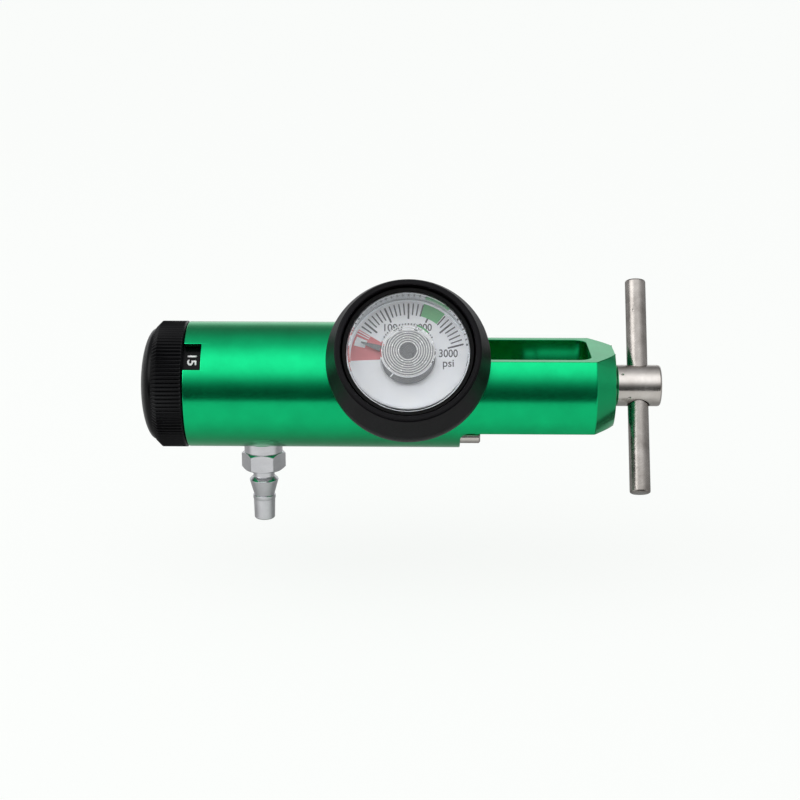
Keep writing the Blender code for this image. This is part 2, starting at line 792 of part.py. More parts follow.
def make_inlet():
    profile = [
        (FILTER_RADIUS + GAP, NIPPLE_REACH),
        (NIPPLE_RADIUS - EDGE_BREAK, NIPPLE_REACH),
        (NIPPLE_RADIUS, NIPPLE_REACH - EDGE_BREAK),
        (NIPPLE_RADIUS, -EDGE_BREAK),
        (NIPPLE_THREAD_RADIUS, -EDGE_BREAK),
        (NIPPLE_THREAD_RADIUS, -NIPPLE_THREAD_LENGTH),
        (NIPPLE_BORE_RADIUS, -NIPPLE_THREAD_LENGTH),
        (NIPPLE_BORE_RADIUS, -FILTER_DEPTH),
        (FILTER_RADIUS + GAP, -FILTER_DEPTH),
    ]
    brass(turned("inlet_nipple", profile, CORE_SIDES, closed=True))
    core = rod(
        "inlet_filter", FILTER_RADIUS, GAP - FILTER_DEPTH, NIPPLE_REACH - 2 * GAP, SMALL_SIDES
    )
    finish(core, (0.35, 0.2, 0.09), 0.8, 0.6)
    washer = ring(
        "yoke_washer",
        NIPPLE_RADIUS + GAP,
        WASHER_OUTER_RADIUS,
        GAP,
        GAP + WASHER_THICKNESS,
        CORE_SIDES,
    )
    brass(washer)
    for side, name in ((-1, "near"), (1, "far")):
        pin = rod(
            "index_pin_" + name,
            PIN_RADIUS,
            GAP - PIN_SEAT_DEPTH,
            PIN_REACH,
            SMALL_SIDES,
            shifted_along_x(pin_point(side)),
            chamfer=EDGE_BREAK,
        )
        steel(pin)


def make_piston():
    seat_face = -NOZZLE_DISTANCE - SEAT_GAP
    stem_tip = seat_face - EDGE_BREAK
    pocket_floor = seat_face - PISTON_SEAT_THICKNESS - GAP
    cross_hole = pocket_floor - 0.0015
    half_groove = O_RING_GROOVE_WIDTH / 2
    stem_groove = PISTON_STEM_RADIUS - O_RING_GROOVE_DEPTH
    head_groove = CORE_RADIUS - O_RING_GROOVE_DEPTH
    head_ring = (PISTON_LEFT + PISTON_HEAD_RIGHT) / 2
    profile = [
        (0.0, pocket_floor),
        (PISTON_SEAT_RADIUS + GAP, pocket_floor),
        (PISTON_SEAT_RADIUS + GAP, stem_tip),
        (PISTON_STEM_RADIUS - EDGE_BREAK, stem_tip),
        (PISTON_STEM_RADIUS, stem_tip - EDGE_BREAK),
        (PISTON_STEM_RADIUS, STEM_RING + half_groove),
        (stem_groove, STEM_RING + half_groove),
        (stem_groove, STEM_RING - half_groove),
        (PISTON_STEM_RADIUS, STEM_RING - half_groove),
        (PISTON_STEM_RADIUS, PISTON_HEAD_RIGHT),
        (CORE_RADIUS, PISTON_HEAD_RIGHT),
        (CORE_RADIUS, head_ring + half_groove),
        (head_groove, head_ring + half_groove),
        (head_groove, head_ring - half_groove),
        (CORE_RADIUS, head_ring - half_groove),
        (CORE_RADIUS, PISTON_LEFT),
        (PISTON_BORE_RADIUS, PISTON_LEFT),
        (PISTON_BORE_RADIUS, cross_hole),
        (0.0, cross_hole),
    ]
    piston = turned("piston", profile, CORE_SIDES)
    port = rod(
        "piston_cross_hole",
        PISTON_BORE_RADIUS * 0.8,
        -PISTON_STEM_RADIUS - 0.001,
        PISTON_STEM_RADIUS + 0.001,
        TINY_SIDES,
        Matrix.Translation((cross_hole - PISTON_BORE_RADIUS * 0.4, 0.0, 0.0)),
        CUTTERS,
    )
    cut(piston, port)
    brass(piston)
    seat = rod(
        "piston_seat",
        PISTON_SEAT_RADIUS,
        pocket_floor + GAP,
        seat_face,
        SMALL_SIDES,
        chamfer=EDGE_BREAK / 2,
    )
    finish(seat, (0.7, 0.7, 0.68), 0.5, 0.0)
    wire = ring_wire(stem_groove, STEM_BORE_RADIUS)
    place = Matrix.Translation((STEM_RING, 0.0, 0.0)) @ ALONG_X
    black_rubber(o_ring("piston_stem_o_ring", stem_groove + GAP + wire, wire, place))
    wire = ring_wire(head_groove, SLEEVE_RADIUS_INSIDE)
    place = Matrix.Translation((head_ring, 0.0, 0.0)) @ ALONG_X
    black_rubber(o_ring("piston_head_o_ring", head_groove + GAP + wire, wire, place))
    spring_left = PISTON_HEAD_RIGHT + GAP
    spring_right = SPRING_SEAT - GAP
    turns = (spring_right - spring_left - 2 * SPRING_WIRE_RADIUS) / SPRING_PITCH
    spring = coil(
        "piston_spring",
        SPRING_WIRE_RADIUS,
        SPRING_COIL_RADIUS,
        spring_left,
        spring_right,
        turns,
        10,
    )
    steel(spring)


def ring_wire(groove_floor, bore):
    """The half thickness of an O-ring that lies between a groove's floor and the bore round it."""
    return (bore - groove_floor - 2 * GAP) / 2


def make_seat_block():
    middle = (BLOCK_LEFT + BLOCK_RIGHT) / 2
    half_groove = O_RING_GROOVE_WIDTH / 2
    floor = CORE_RADIUS - O_RING_GROOVE_DEPTH
    pilot_end = SPINDLE_RIGHT + GAP
    profile = [
        (0.0, BLOCK_RIGHT),
        (SEAT_BOSS_RADIUS - 0.002, BLOCK_RIGHT),
        (SEAT_BOSS_RADIUS - 0.002, BLOCK_RIGHT + SEAT_BOSS_HEIGHT),
        (SEAT_BOSS_RADIUS, BLOCK_RIGHT + SEAT_BOSS_HEIGHT),
        (SEAT_BOSS_RADIUS, BLOCK_RIGHT),
        (CORE_RADIUS, BLOCK_RIGHT),
        (CORE_RADIUS, middle + half_groove),
        (floor, middle + half_groove),
        (floor, middle - half_groove),
        (CORE_RADIUS, middle - half_groove),
        (CORE_RADIUS, BLOCK_LEFT),
        (SPINDLE_PILOT_RADIUS + GAP, BLOCK_LEFT),
        (SPINDLE_PILOT_RADIUS + GAP, pilot_end),
        (0.0, pilot_end),
    ]
    block = turned("metering_block", profile, CORE_SIDES)
    centre = round_x(math.pi / 2, PORT_CIRCLE_RADIUS)
    place = shifted_along_x(centre)
    port = rod(
        "metering_port",
        PORT_RADIUS,
        BLOCK_LEFT - 0.001,
        BLOCK_RIGHT + 0.001,
        TINY_SIDES,
        place,
        CUTTERS,
    )
    cut(block, port)
    groove = ring(
        "port_ring_groove",
        PORT_RING_RADIUS - PORT_RING_WIRE - GAP,
        PORT_RING_RADIUS + PORT_RING_WIRE + GAP,
        BLOCK_LEFT - 0.001,
        BLOCK_LEFT + PORT_RING_WIRE + GAP,
        SMALL_SIDES,
        place,
        CUTTERS,
    )
    cut(block, groove)
    brass(block)
    wire = ring_wire(floor, SLEEVE_RADIUS_INSIDE)
    side_place = Matrix.Translation((middle, 0.0, 0.0)) @ ALONG_X
    black_rubber(o_ring("block_o_ring", floor + GAP + wire, wire, side_place))
    face_place = Matrix.Translation((BLOCK_LEFT, 0.0, 0.0)) @ place
    black_rubber(o_ring("port_o_ring", PORT_RING_RADIUS, PORT_RING_WIRE, face_place))


def d_section(name, radius, flat, start, end):
    """A rod with one flat, for a driven hole."""
    cutter = rod(name, radius, start, end, CORE_SIDES, collection=CUTTERS)
    slab = box(
        name + "_flat",
        (start - 0.001, -radius * 2, flat),
        (end + 0.001, radius * 2, radius * 2),
    )
    cut(cutter, slab)
    return cutter


def make_orifice_plate():
    plate = rod("orifice_plate", PLATE_RADIUS, PLATE_LEFT, PLATE_RIGHT, CORE_SIDES)
    for setting in range(1, FLOW_SETTINGS):
        share = (setting - 1) / (FLOW_SETTINGS - 2)
        radius = ORIFICE_SMALLEST + share * (ORIFICE_LARGEST - ORIFICE_SMALLEST)
        # The widest orifice is at the port, and the others follow as the plate turns back.
        angle = math.pi / 2 - (FLOW_SETTINGS - 1 - setting) * SETTING_STEP
        hole = rod(
            "orifice_%d" % setting,
            radius,
            PLATE_LEFT - 0.001,
            PLATE_RIGHT + 0.001,
            6,
            shifted_along_x(round_x(angle, PORT_CIRCLE_RADIUS)),
            CUTTERS,
        )
        cut(plate, hole)
    socket = d_section(
        "plate_socket",
        SPINDLE_RADIUS + GAP,
        SPINDLE_FLAT + GAP,
        PLATE_LEFT - 0.001,
        PLATE_RIGHT + 0.001,
    )
    cut(plate, socket)
    steel(plate)


def make_spindle():
    profile = [
        (0.0, SPINDLE_RIGHT),
        (SPINDLE_PILOT_RADIUS, SPINDLE_RIGHT),
        (SPINDLE_PILOT_RADIUS, SPINDLE_PLATE_END),
        (SPINDLE_RADIUS, SPINDLE_PLATE_END),
        (SPINDLE_RADIUS, PLATE_LEFT - GAP),
        (SPINDLE_COLLAR_RADIUS, PLATE_LEFT - GAP),
        (SPINDLE_COLLAR_RADIUS, COLLAR_LEFT),
        (SPINDLE_RADIUS, COLLAR_LEFT),
        (SPINDLE_RADIUS, SPINDLE_LEFT),
        (SCREW_SHANK_RADIUS + GAP, SPINDLE_LEFT),
        (SCREW_SHANK_RADIUS + GAP, SPINDLE_LEFT + 0.0045),
        (0.0, SPINDLE_LEFT + 0.0045),
    ]
    spindle = turned("selector_spindle", profile, CORE_SIDES)
    far = SPINDLE_RADIUS * 2
    knob_flat = box(
        "spindle_knob_flat", (SPINDLE_LEFT - 0.001, -far, SPINDLE_FLAT), (FLAT_END, far, far)
    )
    cut(spindle, knob_flat)
    plate_flat = box(
        "spindle_plate_flat",
        (PLATE_LEFT - GAP, -far, SPINDLE_FLAT),
        (SPINDLE_PLATE_END + GAP, far, far),
    )
    cut(spindle, plate_flat)
    steel(spindle)


def make_core_cap():
    profile = [
        (SPINDLE_RADIUS + GAP, CAP_RIGHT),
        (CORE_RADIUS, CAP_RIGHT),
        (CORE_RADIUS, FLANGE_RIGHT),
        (SLEEVE_RADIUS, FLANGE_RIGHT),
        (SLEEVE_RADIUS, FLANGE_LEFT),
        (CAP_HUB_RADIUS, FLANGE_LEFT),
        (CAP_HUB_RADIUS, CAP_LEFT),
        (SPINDLE_RADIUS + GAP, CAP_LEFT),
    ]
    cap = turned("core_cap", profile, CORE_SIDES, closed=True)
    pocket = rod(
        "detent_pocket",
        BALL_RADIUS + GAP,
        CAP_LEFT - 0.001,
        CAP_LEFT + DETENT_POCKET_DEPTH,
        SMALL_SIDES,
        shifted_along_x(round_x(DETENT_ANGLE, DETENT_CIRCLE_RADIUS)),
        CUTTERS,
    )
    cut(cap, pocket)
    place = shifted_along_x(round_x(STOP_ANGLE, STOP_CIRCLE_RADIUS))
    seat = rod(
        "stop_pin_hole",
        STOP_PIN_RADIUS + GAP,
        FLANGE_LEFT - 0.001,
        FLANGE_LEFT + STOP_PIN_DEPTH + GAP,
        TINY_SIDES,
        place,
        CUTTERS,
    )
    cut(cap, seat)
    brass(cap)
    pin = rod(
        "stop_pin",
        STOP_PIN_RADIUS,
        FLANGE_LEFT - STOP_PIN_REACH,
        FLANGE_LEFT + STOP_PIN_DEPTH,
        TINY_SIDES,
        place,
    )
    steel(pin)


def make_detent():
    """The sprung ball that gives the knob its clicks. Its tip stands just off the knob's web."""
    centre = round_x(DETENT_ANGLE, DETENT_CIRCLE_RADIUS)
    station = WEB_FACE + GAP + BALL_RADIUS
    mesh = bpy.data.meshes.new("detent_ball")
    solid = bmesh.new()
    bmesh.ops.create_uvsphere(solid, u_segments=10, v_segments=6, radius=BALL_RADIUS)
    solid.to_mesh(mesh)
    solid.free()
    mesh.shade_smooth()
    ball = new_object("detent_ball", mesh)
    ball.location = (station, centre.y, centre.z)
    steel(ball)
    spring = coil(
        "detent_spring",
        DETENT_WIRE_RADIUS,
        BALL_RADIUS - DETENT_WIRE_RADIUS,
        station + BALL_RADIUS + GAP,
        CAP_LEFT + DETENT_POCKET_DEPTH - GAP,
        DETENT_TURNS,
        8,
        shifted_along_x(centre),
    )
    steel(spring)


def knob_profile():
    """The knob's section from its web round the skirt and through the grip to the dome."""
    inside_grip = DOME_BASE + KNOB_GROOVE_DEPTH
    dome_radius = DOME_RADIUS - KNOB_GROOVE_DEPTH - EDGE_BREAK / 6
    points = [
        (0.0, WEB_FACE),
        (SKIRT_RADIUS_INSIDE, WEB_FACE),
        (SKIRT_RADIUS_INSIDE, SKIRT_RIGHT),
        (SKIRT_RADIUS, SKIRT_RIGHT),
        (SKIRT_RADIUS, inside_grip),
        (dome_radius, inside_grip),
        (dome_radius, DOME_BASE),
    ]
    steps = 4
    for i in range(1, steps + 1):
        angle = math.pi / 2 * i / steps
        radius = dome_radius * math.cos(angle) if i < steps else 0.0
        points.append((radius, DOME_BASE - KNOB_DOME_HEIGHT * math.sin(angle)))
    return points


def make_grip():
    """The ribbed ring: a turned ring with every second column of corners drawn in as a V groove."""
    profile = [
        (0.0, KNOB_RIGHT),
        (KNOB_RADIUS, KNOB_RIGHT),
        (KNOB_RADIUS, RING_LEFT),
        (DOME_RADIUS, DOME_BASE),
        (0.0, DOME_BASE),
    ]
    grip = turned("knob_grip", profile, 2 * KNOB_RIBS)
    for vert in grip.data.vertices:
        radius = math.hypot(vert.co.y, vert.co.z)
        column = round(math.atan2(vert.co.z, vert.co.y) / (math.pi / KNOB_RIBS))
        if radius > SKIRT_RADIUS and column % 2:
            vert.co.y *= 1 - KNOB_GROOVE_DEPTH / radius
            vert.co.z *= 1 - KNOB_GROOVE_DEPTH / radius
    return grip


def make_dimple_cutter():
    """A ring of drilled dimples for the detent ball, one for each flow setting."""
    past = 0.0002
    solid = bmesh.new()
    for i in range(FLOW_SETTINGS):
        centre = round_x(DETENT_ANGLE + i * SETTING_STEP, DETENT_CIRCLE_RADIUS)
        centre.x = WEB_FACE + (past - DIMPLE_DEPTH) / 2
        bmesh.ops.create_cone(
            solid,
            cap_ends=True,
            segments=TINY_SIDES,
            radius1=0.0,
            radius2=DIMPLE_RADIUS * (1 + past / DIMPLE_DEPTH),
            depth=DIMPLE_DEPTH + past,
            matrix=Matrix.Translation(centre) @ ALONG_X,
        )
    mesh = bpy.data.meshes.new("detent_dimples")
    solid.to_mesh(mesh)
    solid.free()
    return new_object("detent_dimples", mesh, CUTTERS)


def make_knob():
    knob = turned("flow_knob", knob_profile(), KNOB_SIDES)
    absorb(knob, make_grip())
    half = STOP_CIRCLE_RADIUS * math.sin(SETTING_STEP / 2) - STOP_PIN_RADIUS - GAP
    lug = box(
        "knob_stop_lug",
        (WEB_FACE - 0.0005, -half, CAP_HUB_RADIUS + STOP_LUG_OFF_HUB),
        (SKIRT_RIGHT - 0.0005, half, SKIRT_RADIUS - SKIRT_WALL / 2),
        about_x(STOP_ANGLE + SETTING_STEP / 2),
    )
    absorb(knob, lug)
    cut(knob, make_dimple_cutter())
    socket = d_section(
        "knob_socket", SPINDLE_RADIUS + GAP, SPINDLE_FLAT + GAP, SOCKET_END, WEB_FACE + 0.001
    )
    cut(knob, socket)
    recess = SCREW_HEAD_SUNK + SCREW_HEAD_HEIGHT + GAP
    screw_hole = turned(
        "knob_screw_hole",
        [
            (0.0, SOCKET_END + 0.001),
            (SCREW_SHANK_RADIUS + GAP, SOCKET_END + 0.001),
            (SCREW_SHANK_RADIUS + GAP, KNOB_LEFT + recess),
            (SCREW_HEAD_RADIUS + GAP, KNOB_LEFT + recess),
            (SCREW_HEAD_RADIUS + GAP, KNOB_LEFT - 0.001),
            (0.0, KNOB_LEFT - 0.001),
        ],
        SMALL_SIDES,
        collection=CUTTERS,
    )
    cut(knob, screw_hole)
    black_anodised(knob)


def make_knob_screw():
    head_left = KNOB_LEFT + SCREW_HEAD_SUNK
    head_right = head_left + SCREW_HEAD_HEIGHT
    profile = [
        (0.0, head_right + SCREW_SHANK_LENGTH),
        (SCREW_SHANK_RADIUS, head_right + SCREW_SHANK_LENGTH),
        (SCREW_SHANK_RADIUS, head_right),
        (SCREW_HEAD_RADIUS, head_right),
        (SCREW_HEAD_RADIUS, head_left + EDGE_BREAK),
        (SCREW_HEAD_RADIUS - EDGE_BREAK, head_left),
        (0.0, head_left),
    ]
    screw = turned("knob_screw", profile, SMALL_SIDES)
    key = rod(
        "knob_screw_key",
        SCREW_KEY_ACROSS_FLATS / math.sqrt(3),
        head_left - 0.001,
        head_left + SCREW_HEAD_HEIGHT / 2,
        6,
        collection=CUTTERS,
    )
    cut(screw, key)
    steel(screw)


def make_outlet():
    """The hose barb with its hexagon and collar, turned from one bar."""
    place = Matrix.Translation((OUTLET_X, 0.0, 0.0))
    hex_top = -COLLAR_BOTTOM
    hex_bottom = hex_top - HEX_HEIGHT
    neck_bottom = hex_bottom - NECK_LENGTH
    barb_edge = neck_bottom - BARB_EDGE_DROP
    waist = barb_edge - BARB_LENGTH
    step_bottom = waist - TIP_STEP_LENGTH
    tip = step_bottom - TIP_LENGTH
    corner = HEX_ACROSS_FLATS / math.sqrt(3)
    hex_chamfer = (corner - COLLAR_RADIUS) * math.tan(HEX_CHAMFER_ANGLE)
    profile = [
        (OUTLET_BORE_RADIUS, -SLEEVE_RADIUS_INSIDE - GAP),
        (OUTLET_THREAD_RADIUS, -SLEEVE_RADIUS_INSIDE - GAP),
        (OUTLET_THREAD_RADIUS, -SPOT_FACE_HEIGHT - GAP),
        (COLLAR_RADIUS, -SPOT_FACE_HEIGHT - GAP),
        (COLLAR_RADIUS, hex_top),
        (corner, hex_top - hex_chamfer),
        (corner, hex_bottom + hex_chamfer),
        (COLLAR_RADIUS, hex_bottom),
        (NECK_RADIUS, hex_bottom),
        (NECK_RADIUS, neck_bottom),
        (BARB_EDGE_RADIUS, barb_edge),
        (BARB_WAIST_RADIUS, waist),
        (TIP_STEP_RADIUS, waist - EDGE_BREAK / 2),
        (TIP_STEP_RADIUS, step_bottom),
        (TIP_STEP_RADIUS - EDGE_BREAK / 2, step_bottom - EDGE_BREAK / 2),
        (TIP_END_RADIUS, tip + EDGE_BREAK),
        (TIP_END_RADIUS - EDGE_BREAK, tip),
        (OUTLET_BORE_RADIUS, tip),
    ]
    barb = turned("hose_barb", profile, OPEN_SIDES, place, closed=True)
    past = 0.0005
    around = rod(
        "outlet_hex_flats",
        corner + past,
        hex_bottom - past,
        hex_top + past,
        SMALL_SIDES,
        place,
        CUTTERS,
    )
    core = rod(
        "outlet_hex_core", corner, hex_bottom - 2 * past, hex_top + 2 * past, 6, place, CUTTERS
    )
    cut(around, core)
    cut(barb, around)
    finish(barb, (0.6, 0.6, 0.61), 0.25, 1.0)


def make_clamp():
    hub_left = YOKE_LENGTH + HUB_STANDOFF
    hub_right = hub_left + HUB_LENGTH
    shank_left = hub_left - SHANK_LENGTH
    head_right = shank_left - 0.0012
    head_left = head_right - SWIVEL_HEAD_LENGTH
    rounding = [
        (
            HUB_RADIUS - HUB_ROUNDING * (1 - math.cos(angle)),
            hub_right - HUB_ROUNDING * (1 - math.sin(angle)),
        )
        for angle in (math.pi / 2, math.pi / 3, math.pi / 6, 0.0)
    ]
    profile = [
        (0.0, hub_right),
        *rounding,
        (HUB_RADIUS, hub_left + EDGE_BREAK),
        (HUB_RADIUS - EDGE_BREAK, hub_left),
        (SHANK_RADIUS, hub_left),
        (SHANK_RADIUS, shank_left),
        (SWIVEL_NECK_RADIUS, shank_left),
        (SWIVEL_NECK_RADIUS, head_right),
        (SWIVEL_HEAD_RADIUS, head_right),
        (SWIVEL_HEAD_RADIUS, head_left),
        (0.0, head_left),
    ]
    screw = turned("clamp_screw", profile, OPEN_SIDES)
    handle_x = (hub_left + hub_right) / 2
    lean = Matrix.Rotation(-BAR_HANDLE_LEAN, 4, "X")
    place = Matrix.Translation((handle_x, 0.0, 0.0)) @ lean
    cross_hole = rod(
        "handle_hole",
        BAR_HANDLE_RADIUS + GAP,
        -HUB_RADIUS - 0.001,
        HUB_RADIUS + 0.001,
        SMALL_SIDES,
        place,
        CUTTERS,
    )
    cut(screw, cross_hole)
    steel(screw)
    half = BAR_HANDLE_LENGTH / 2
    handle = rod(
        "tee_bar",
        BAR_HANDLE_RADIUS,
        -half,
        half,
        SMALL_SIDES,
        place,
        chamfer=BAR_HANDLE_CHAMFER,
    )
    steel(handle)
    tip_right = shank_left - GAP
    tip_left = tip_right - SWIVEL_TIP_LENGTH
    cup = [
        (0.0, head_left - GAP),
        (SWIVEL_HEAD_RADIUS + GAP, head_left - GAP),
        (SWIVEL_HEAD_RADIUS + GAP, head_right + GAP),
        (SWIVEL_NECK_RADIUS + GAP, head_right + GAP),
        (SWIVEL_NECK_RADIUS + GAP, tip_right),
        (SWIVEL_TIP_RADIUS, tip_right),
        (SWIVEL_TIP_RADIUS, tip_left + SWIVEL_POINT_LENGTH),
        (SWIVEL_TIP_RADIUS / 4, tip_left),
        (0.0, tip_left),
    ]
    steel(turned("swivel_tip", cup, CORE_SIDES))


def boot_profile():
    """The boot's outside: a front cone, a crease behind the lip, a belly and a rounded rear edge."""
    inner = BOOT_INSIDE_RADIUS
    belly_front = BOOT_BELLY + BOOT_BELLY_LENGTH
    belly_edge = BOOT_RADIUS - BOOT_BELLY_SWELL
    crease = BOOT_LIP - 2 * BOOT_LIP_CREASE
    points = [
        (inner, BOOT_LIP),
        (BOOT_LIP_RADIUS - BOOT_LIP_CREASE, BOOT_LIP),
        (BOOT_LIP_RADIUS, BOOT_LIP - BOOT_LIP_CREASE),
        (BOOT_LIP_RADIUS - BOOT_LIP_CREASE / 2, crease),
        (BOOT_LIP_RADIUS + BOOT_LIP_CREASE / 2, crease - BOOT_LIP_CREASE),
        (belly_edge, belly_front),
        (BOOT_RADIUS, (BOOT_BELLY + belly_front) / 2),
        (belly_edge, BOOT_BELLY),
    ]
    steps = 3
    for i in range(1, steps + 1):
        angle = math.pi / 2 * i / steps
        radius = BOOT_REAR_RADIUS + (belly_edge - BOOT_REAR_RADIUS) * math.cos(angle)
        level = BOOT_BELLY - (BOOT_BELLY - BOOT_REAR) * math.sin(angle)
        points.append((radius, level))
    return points, inner


def make_gauge_shell(axis):
    outside, inner = boot_profile()
    hole = GAUGE_STEM_RADIUS + GAP
    floor = CASE_REAR - GAP
    boot = turned(
        "gauge_boot",
        [*outside, (hole, BOOT_REAR), (hole, floor), (inner, floor)],
        GAUGE_SIDES,
        Matrix.Identity(4),
        closed=True,
    )
    boot.parent = axis
    black_rubber(boot)
    ledge_level = DIAL_LEVEL - GAP
    profile = [
        (CASE_INSIDE_RADIUS, CASE_RIM),
        (CASE_RADIUS - EDGE_BREAK, CASE_RIM),
        (CASE_RADIUS, CASE_RIM - EDGE_BREAK),
        (CASE_RADIUS, CASE_REAR),
        (hole, CASE_REAR),
        (hole, CASE_FLOOR),
        (CASE_INSIDE_RADIUS, CASE_FLOOR),
        (CASE_INSIDE_RADIUS, ledge_level - CASE_LEDGE),
        (CASE_INSIDE_RADIUS - CASE_LEDGE, ledge_level),
        (CASE_INSIDE_RADIUS, ledge_level),
    ]
    case = turned("gauge_case", profile, GAUGE_SIDES, Matrix.Identity(4), closed=True)
    case.parent = axis
    finish(case, (0.01, 0.01, 0.011), 0.4, 0.3)
    lens_rear = LENS_FACE - LENS_THICKNESS
    lens = turned(
        "gauge_lens",
        [
            (0.0, LENS_FACE - LENS_BOSS_SINK),
            (LENS_BOSS_RADIUS, LENS_FACE - LENS_BOSS_SINK),
            (LENS_BOSS_RADIUS + LENS_BOSS_SINK, LENS_FACE),
            (LENS_RADIUS - LENS_BEVEL, LENS_FACE),
            (LENS_RADIUS, LENS_FACE - LENS_BEVEL),
            (LENS_RADIUS, lens_rear),
            (0.0, lens_rear),
        ],
        GAUGE_SIDES,
        Matrix.Identity(4),
    )
    lens.parent = axis
    finish(lens, (0.8, 0.83, 0.86), 0.05, 0.0)
    dial = ring(
        "gauge_dial",
        ARBOR_RADIUS + GAP,
        DIAL_RADIUS,
        DIAL_LEVEL,
        DIAL_FACE,
        GAUGE_SIDES,
        Matrix.Identity(4),
    )
    dial.parent = axis
    finish(dial, (0.75, 0.78, 0.8), 0.5, 0.0)


def make_pointer(axis):
    hub_top = POINTER_LEVEL + POINTER_THICKNESS + POINTER_HUB_HEIGHT
    outline = []
    needle = math.asin(POINTER_HALF_WIDTH / POINTER_DISC_RADIUS)
    steps = 32
    for i in range(steps + 1):
        angle = needle + (2 * math.pi - 2 * needle) * i / steps
        point = dial_point(angle, POINTER_DISC_RADIUS)
        outline.append((point.x, point.y))
    outline.append((-POINTER_HALF_WIDTH / 8, POINTER_REACH))
    outline.append((POINTER_HALF_WIDTH / 8, POINTER_REACH))
    pointer = flat_shape(
        "gauge_pointer", outline, POINTER_LEVEL, POINTER_LEVEL + POINTER_THICKNESS
    )
    hub = rod(
        "pointer_hub",
        POINTER_HUB_RADIUS,
        POINTER_LEVEL - 2 * GAP / 3,
        hub_top,
        SMALL_SIDES,
        Matrix.Identity(4),
    )
    absorb(pointer, hub)
    bore = rod(
        "pointer_bore",
        ARBOR_RADIUS + GAP,
        DIAL_FACE,
        hub_top - 2 * GAP,
        TINY_SIDES,
        Matrix.Identity(4),
        CUTTERS,
    )
    bore.parent = axis
    pointer.data.transform(Matrix.Rotation(-POINTER_REST_ANGLE, 4, "Z"))
    pointer.parent = axis
    cut(pointer, bore)
    finish(pointer, (0.2, 0.2, 0.21), 0.4, 0.6)
    return hub_top - 3 * GAP


def make_socket(axis):
    """The brass block that screws into the sleeve's nose and carries the tube and the movement."""
    bore = NIPPLE_BORE_RADIUS * 0.8
    profile = [
        (bore, SOCKET_TOP),
        (SOCKET_RADIUS, SOCKET_TOP),
        (SOCKET_RADIUS, SOCKET_LEVEL),
        (GAUGE_STEM_RADIUS, SOCKET_LEVEL),
        (GAUGE_STEM_RADIUS, GAUGE_STEM_START),
        (bore, GAUGE_STEM_START),
    ]
    socket = turned("gauge_socket", profile, CORE_SIDES, Matrix.Identity(4), closed=True)
    arm = box(
        "socket_arm",
        (-SOCKET_ARM_HALF_WIDTH, -SOCKET_ARM_REACH, SOCKET_LEVEL),
        (SOCKET_ARM_HALF_WIDTH, -SOCKET_RADIUS * 0.7, SOCKET_LEVEL + SOCKET_THICKNESS),
    )
    absorb(socket, arm)
    head = box(
        "socket_head",
        (-SOCKET_ARM_HALF_WIDTH, -SOCKET_ARM_REACH, SOCKET_LEVEL + SOCKET_THICKNESS / 2),
        (
            SOCKET_ARM_HALF_WIDTH,
            -TUBE_RADIUS + TUBE_HALF_THICKNESS + 0.001,
            SOCKET_LEVEL + SOCKET_ARM_HEIGHT,
        ),
    )
    absorb(socket, head)
    pocket = box(
        "tube_pocket",
        (
            -SOCKET_ARM_HALF_WIDTH - 0.001,
            -TUBE_RADIUS - TUBE_HALF_THICKNESS - GAP,
            TUBE_LEVEL - TUBE_HALF_WIDTH - GAP,
        ),
        (
            -SOCKET_ARM_HALF_WIDTH + 0.0016,
            -TUBE_RADIUS + TUBE_HALF_THICKNESS + GAP,
            TUBE_LEVEL + TUBE_HALF_WIDTH + GAP,
        ),
    )
    socket.parent = axis
    pocket.parent = axis
    cut(socket, pocket)
    brass(socket)


def make_tube(axis):
    """The flattened C-shaped tube. It starts in the socket's head and its tip carries the link's pin."""
    root = math.pi + math.asin((SOCKET_ARM_HALF_WIDTH - 0.0013) / TUBE_RADIUS)
    sweep = 2 * math.pi + TUBE_TIP_ANGLE - root
    mesh = bpy.data.meshes.new("bourdon_tube")
    corners = 8
    section = [
        (
            TUBE_RADIUS + TUBE_HALF_THICKNESS * math.cos(2 * math.pi * i / corners),
            0.0,
            TUBE_LEVEL - TUBE_HALF_WIDTH * math.sin(2 * math.pi * i / corners),
        )
        for i in range(corners)
    ]
    edges = [(i, (i + 1) % corners) for i in range(corners)]
    mesh.from_pydata(section, edges, [])
    tube = new_object("bourdon_tube", mesh)
    screw = tube.modifiers.new("sweep", "SCREW")
    screw.axis = "Z"
    screw.angle = sweep
    screw.steps = 18
    screw.render_steps = 18
    solid = evaluated_mesh(tube)
    tube.modifiers.clear()
    tube.data = solid
    closed = bmesh.new()
    closed.from_mesh(solid)
    bmesh.ops.holes_fill(closed, edges=closed.edges, sides=corners)
    bmesh.ops.recalc_face_normals(closed, faces=closed.faces)
    closed.to_mesh(solid)
    closed.free()
    # The sweep runs against the clock from the tip, which starts on the x axis.
    solid.transform(Matrix.Rotation(math.pi / 2 - TUBE_TIP_ANGLE, 4, "Z"))
    shade(solid)
    tip = dial_point(TUBE_TIP_ANGLE, TUBE_RADIUS)
    place = Matrix.Translation(tip)
    pin_top = LINK_LEVEL + LINK_THICKNESS + GAP
    lug = turned(
        "tube_tip_lug",
        [
            (0.0, pin_top),
            (LINK_PIN_RADIUS, pin_top),
            (LINK_PIN_RADIUS, LINK_LEVEL - GAP),
            (TUBE_HALF_THICKNESS * 1.3, LINK_LEVEL - GAP),
            (TUBE_HALF_THICKNESS * 1.3, TUBE_LEVEL - TUBE_HALF_WIDTH * 0.8),
            (0.0, TUBE_LEVEL - TUBE_HALF_WIDTH * 0.8),
        ],
        TINY_SIDES,
        place,
    )
    absorb(tube, lug)
    tube.parent = axis
    brass(tube)


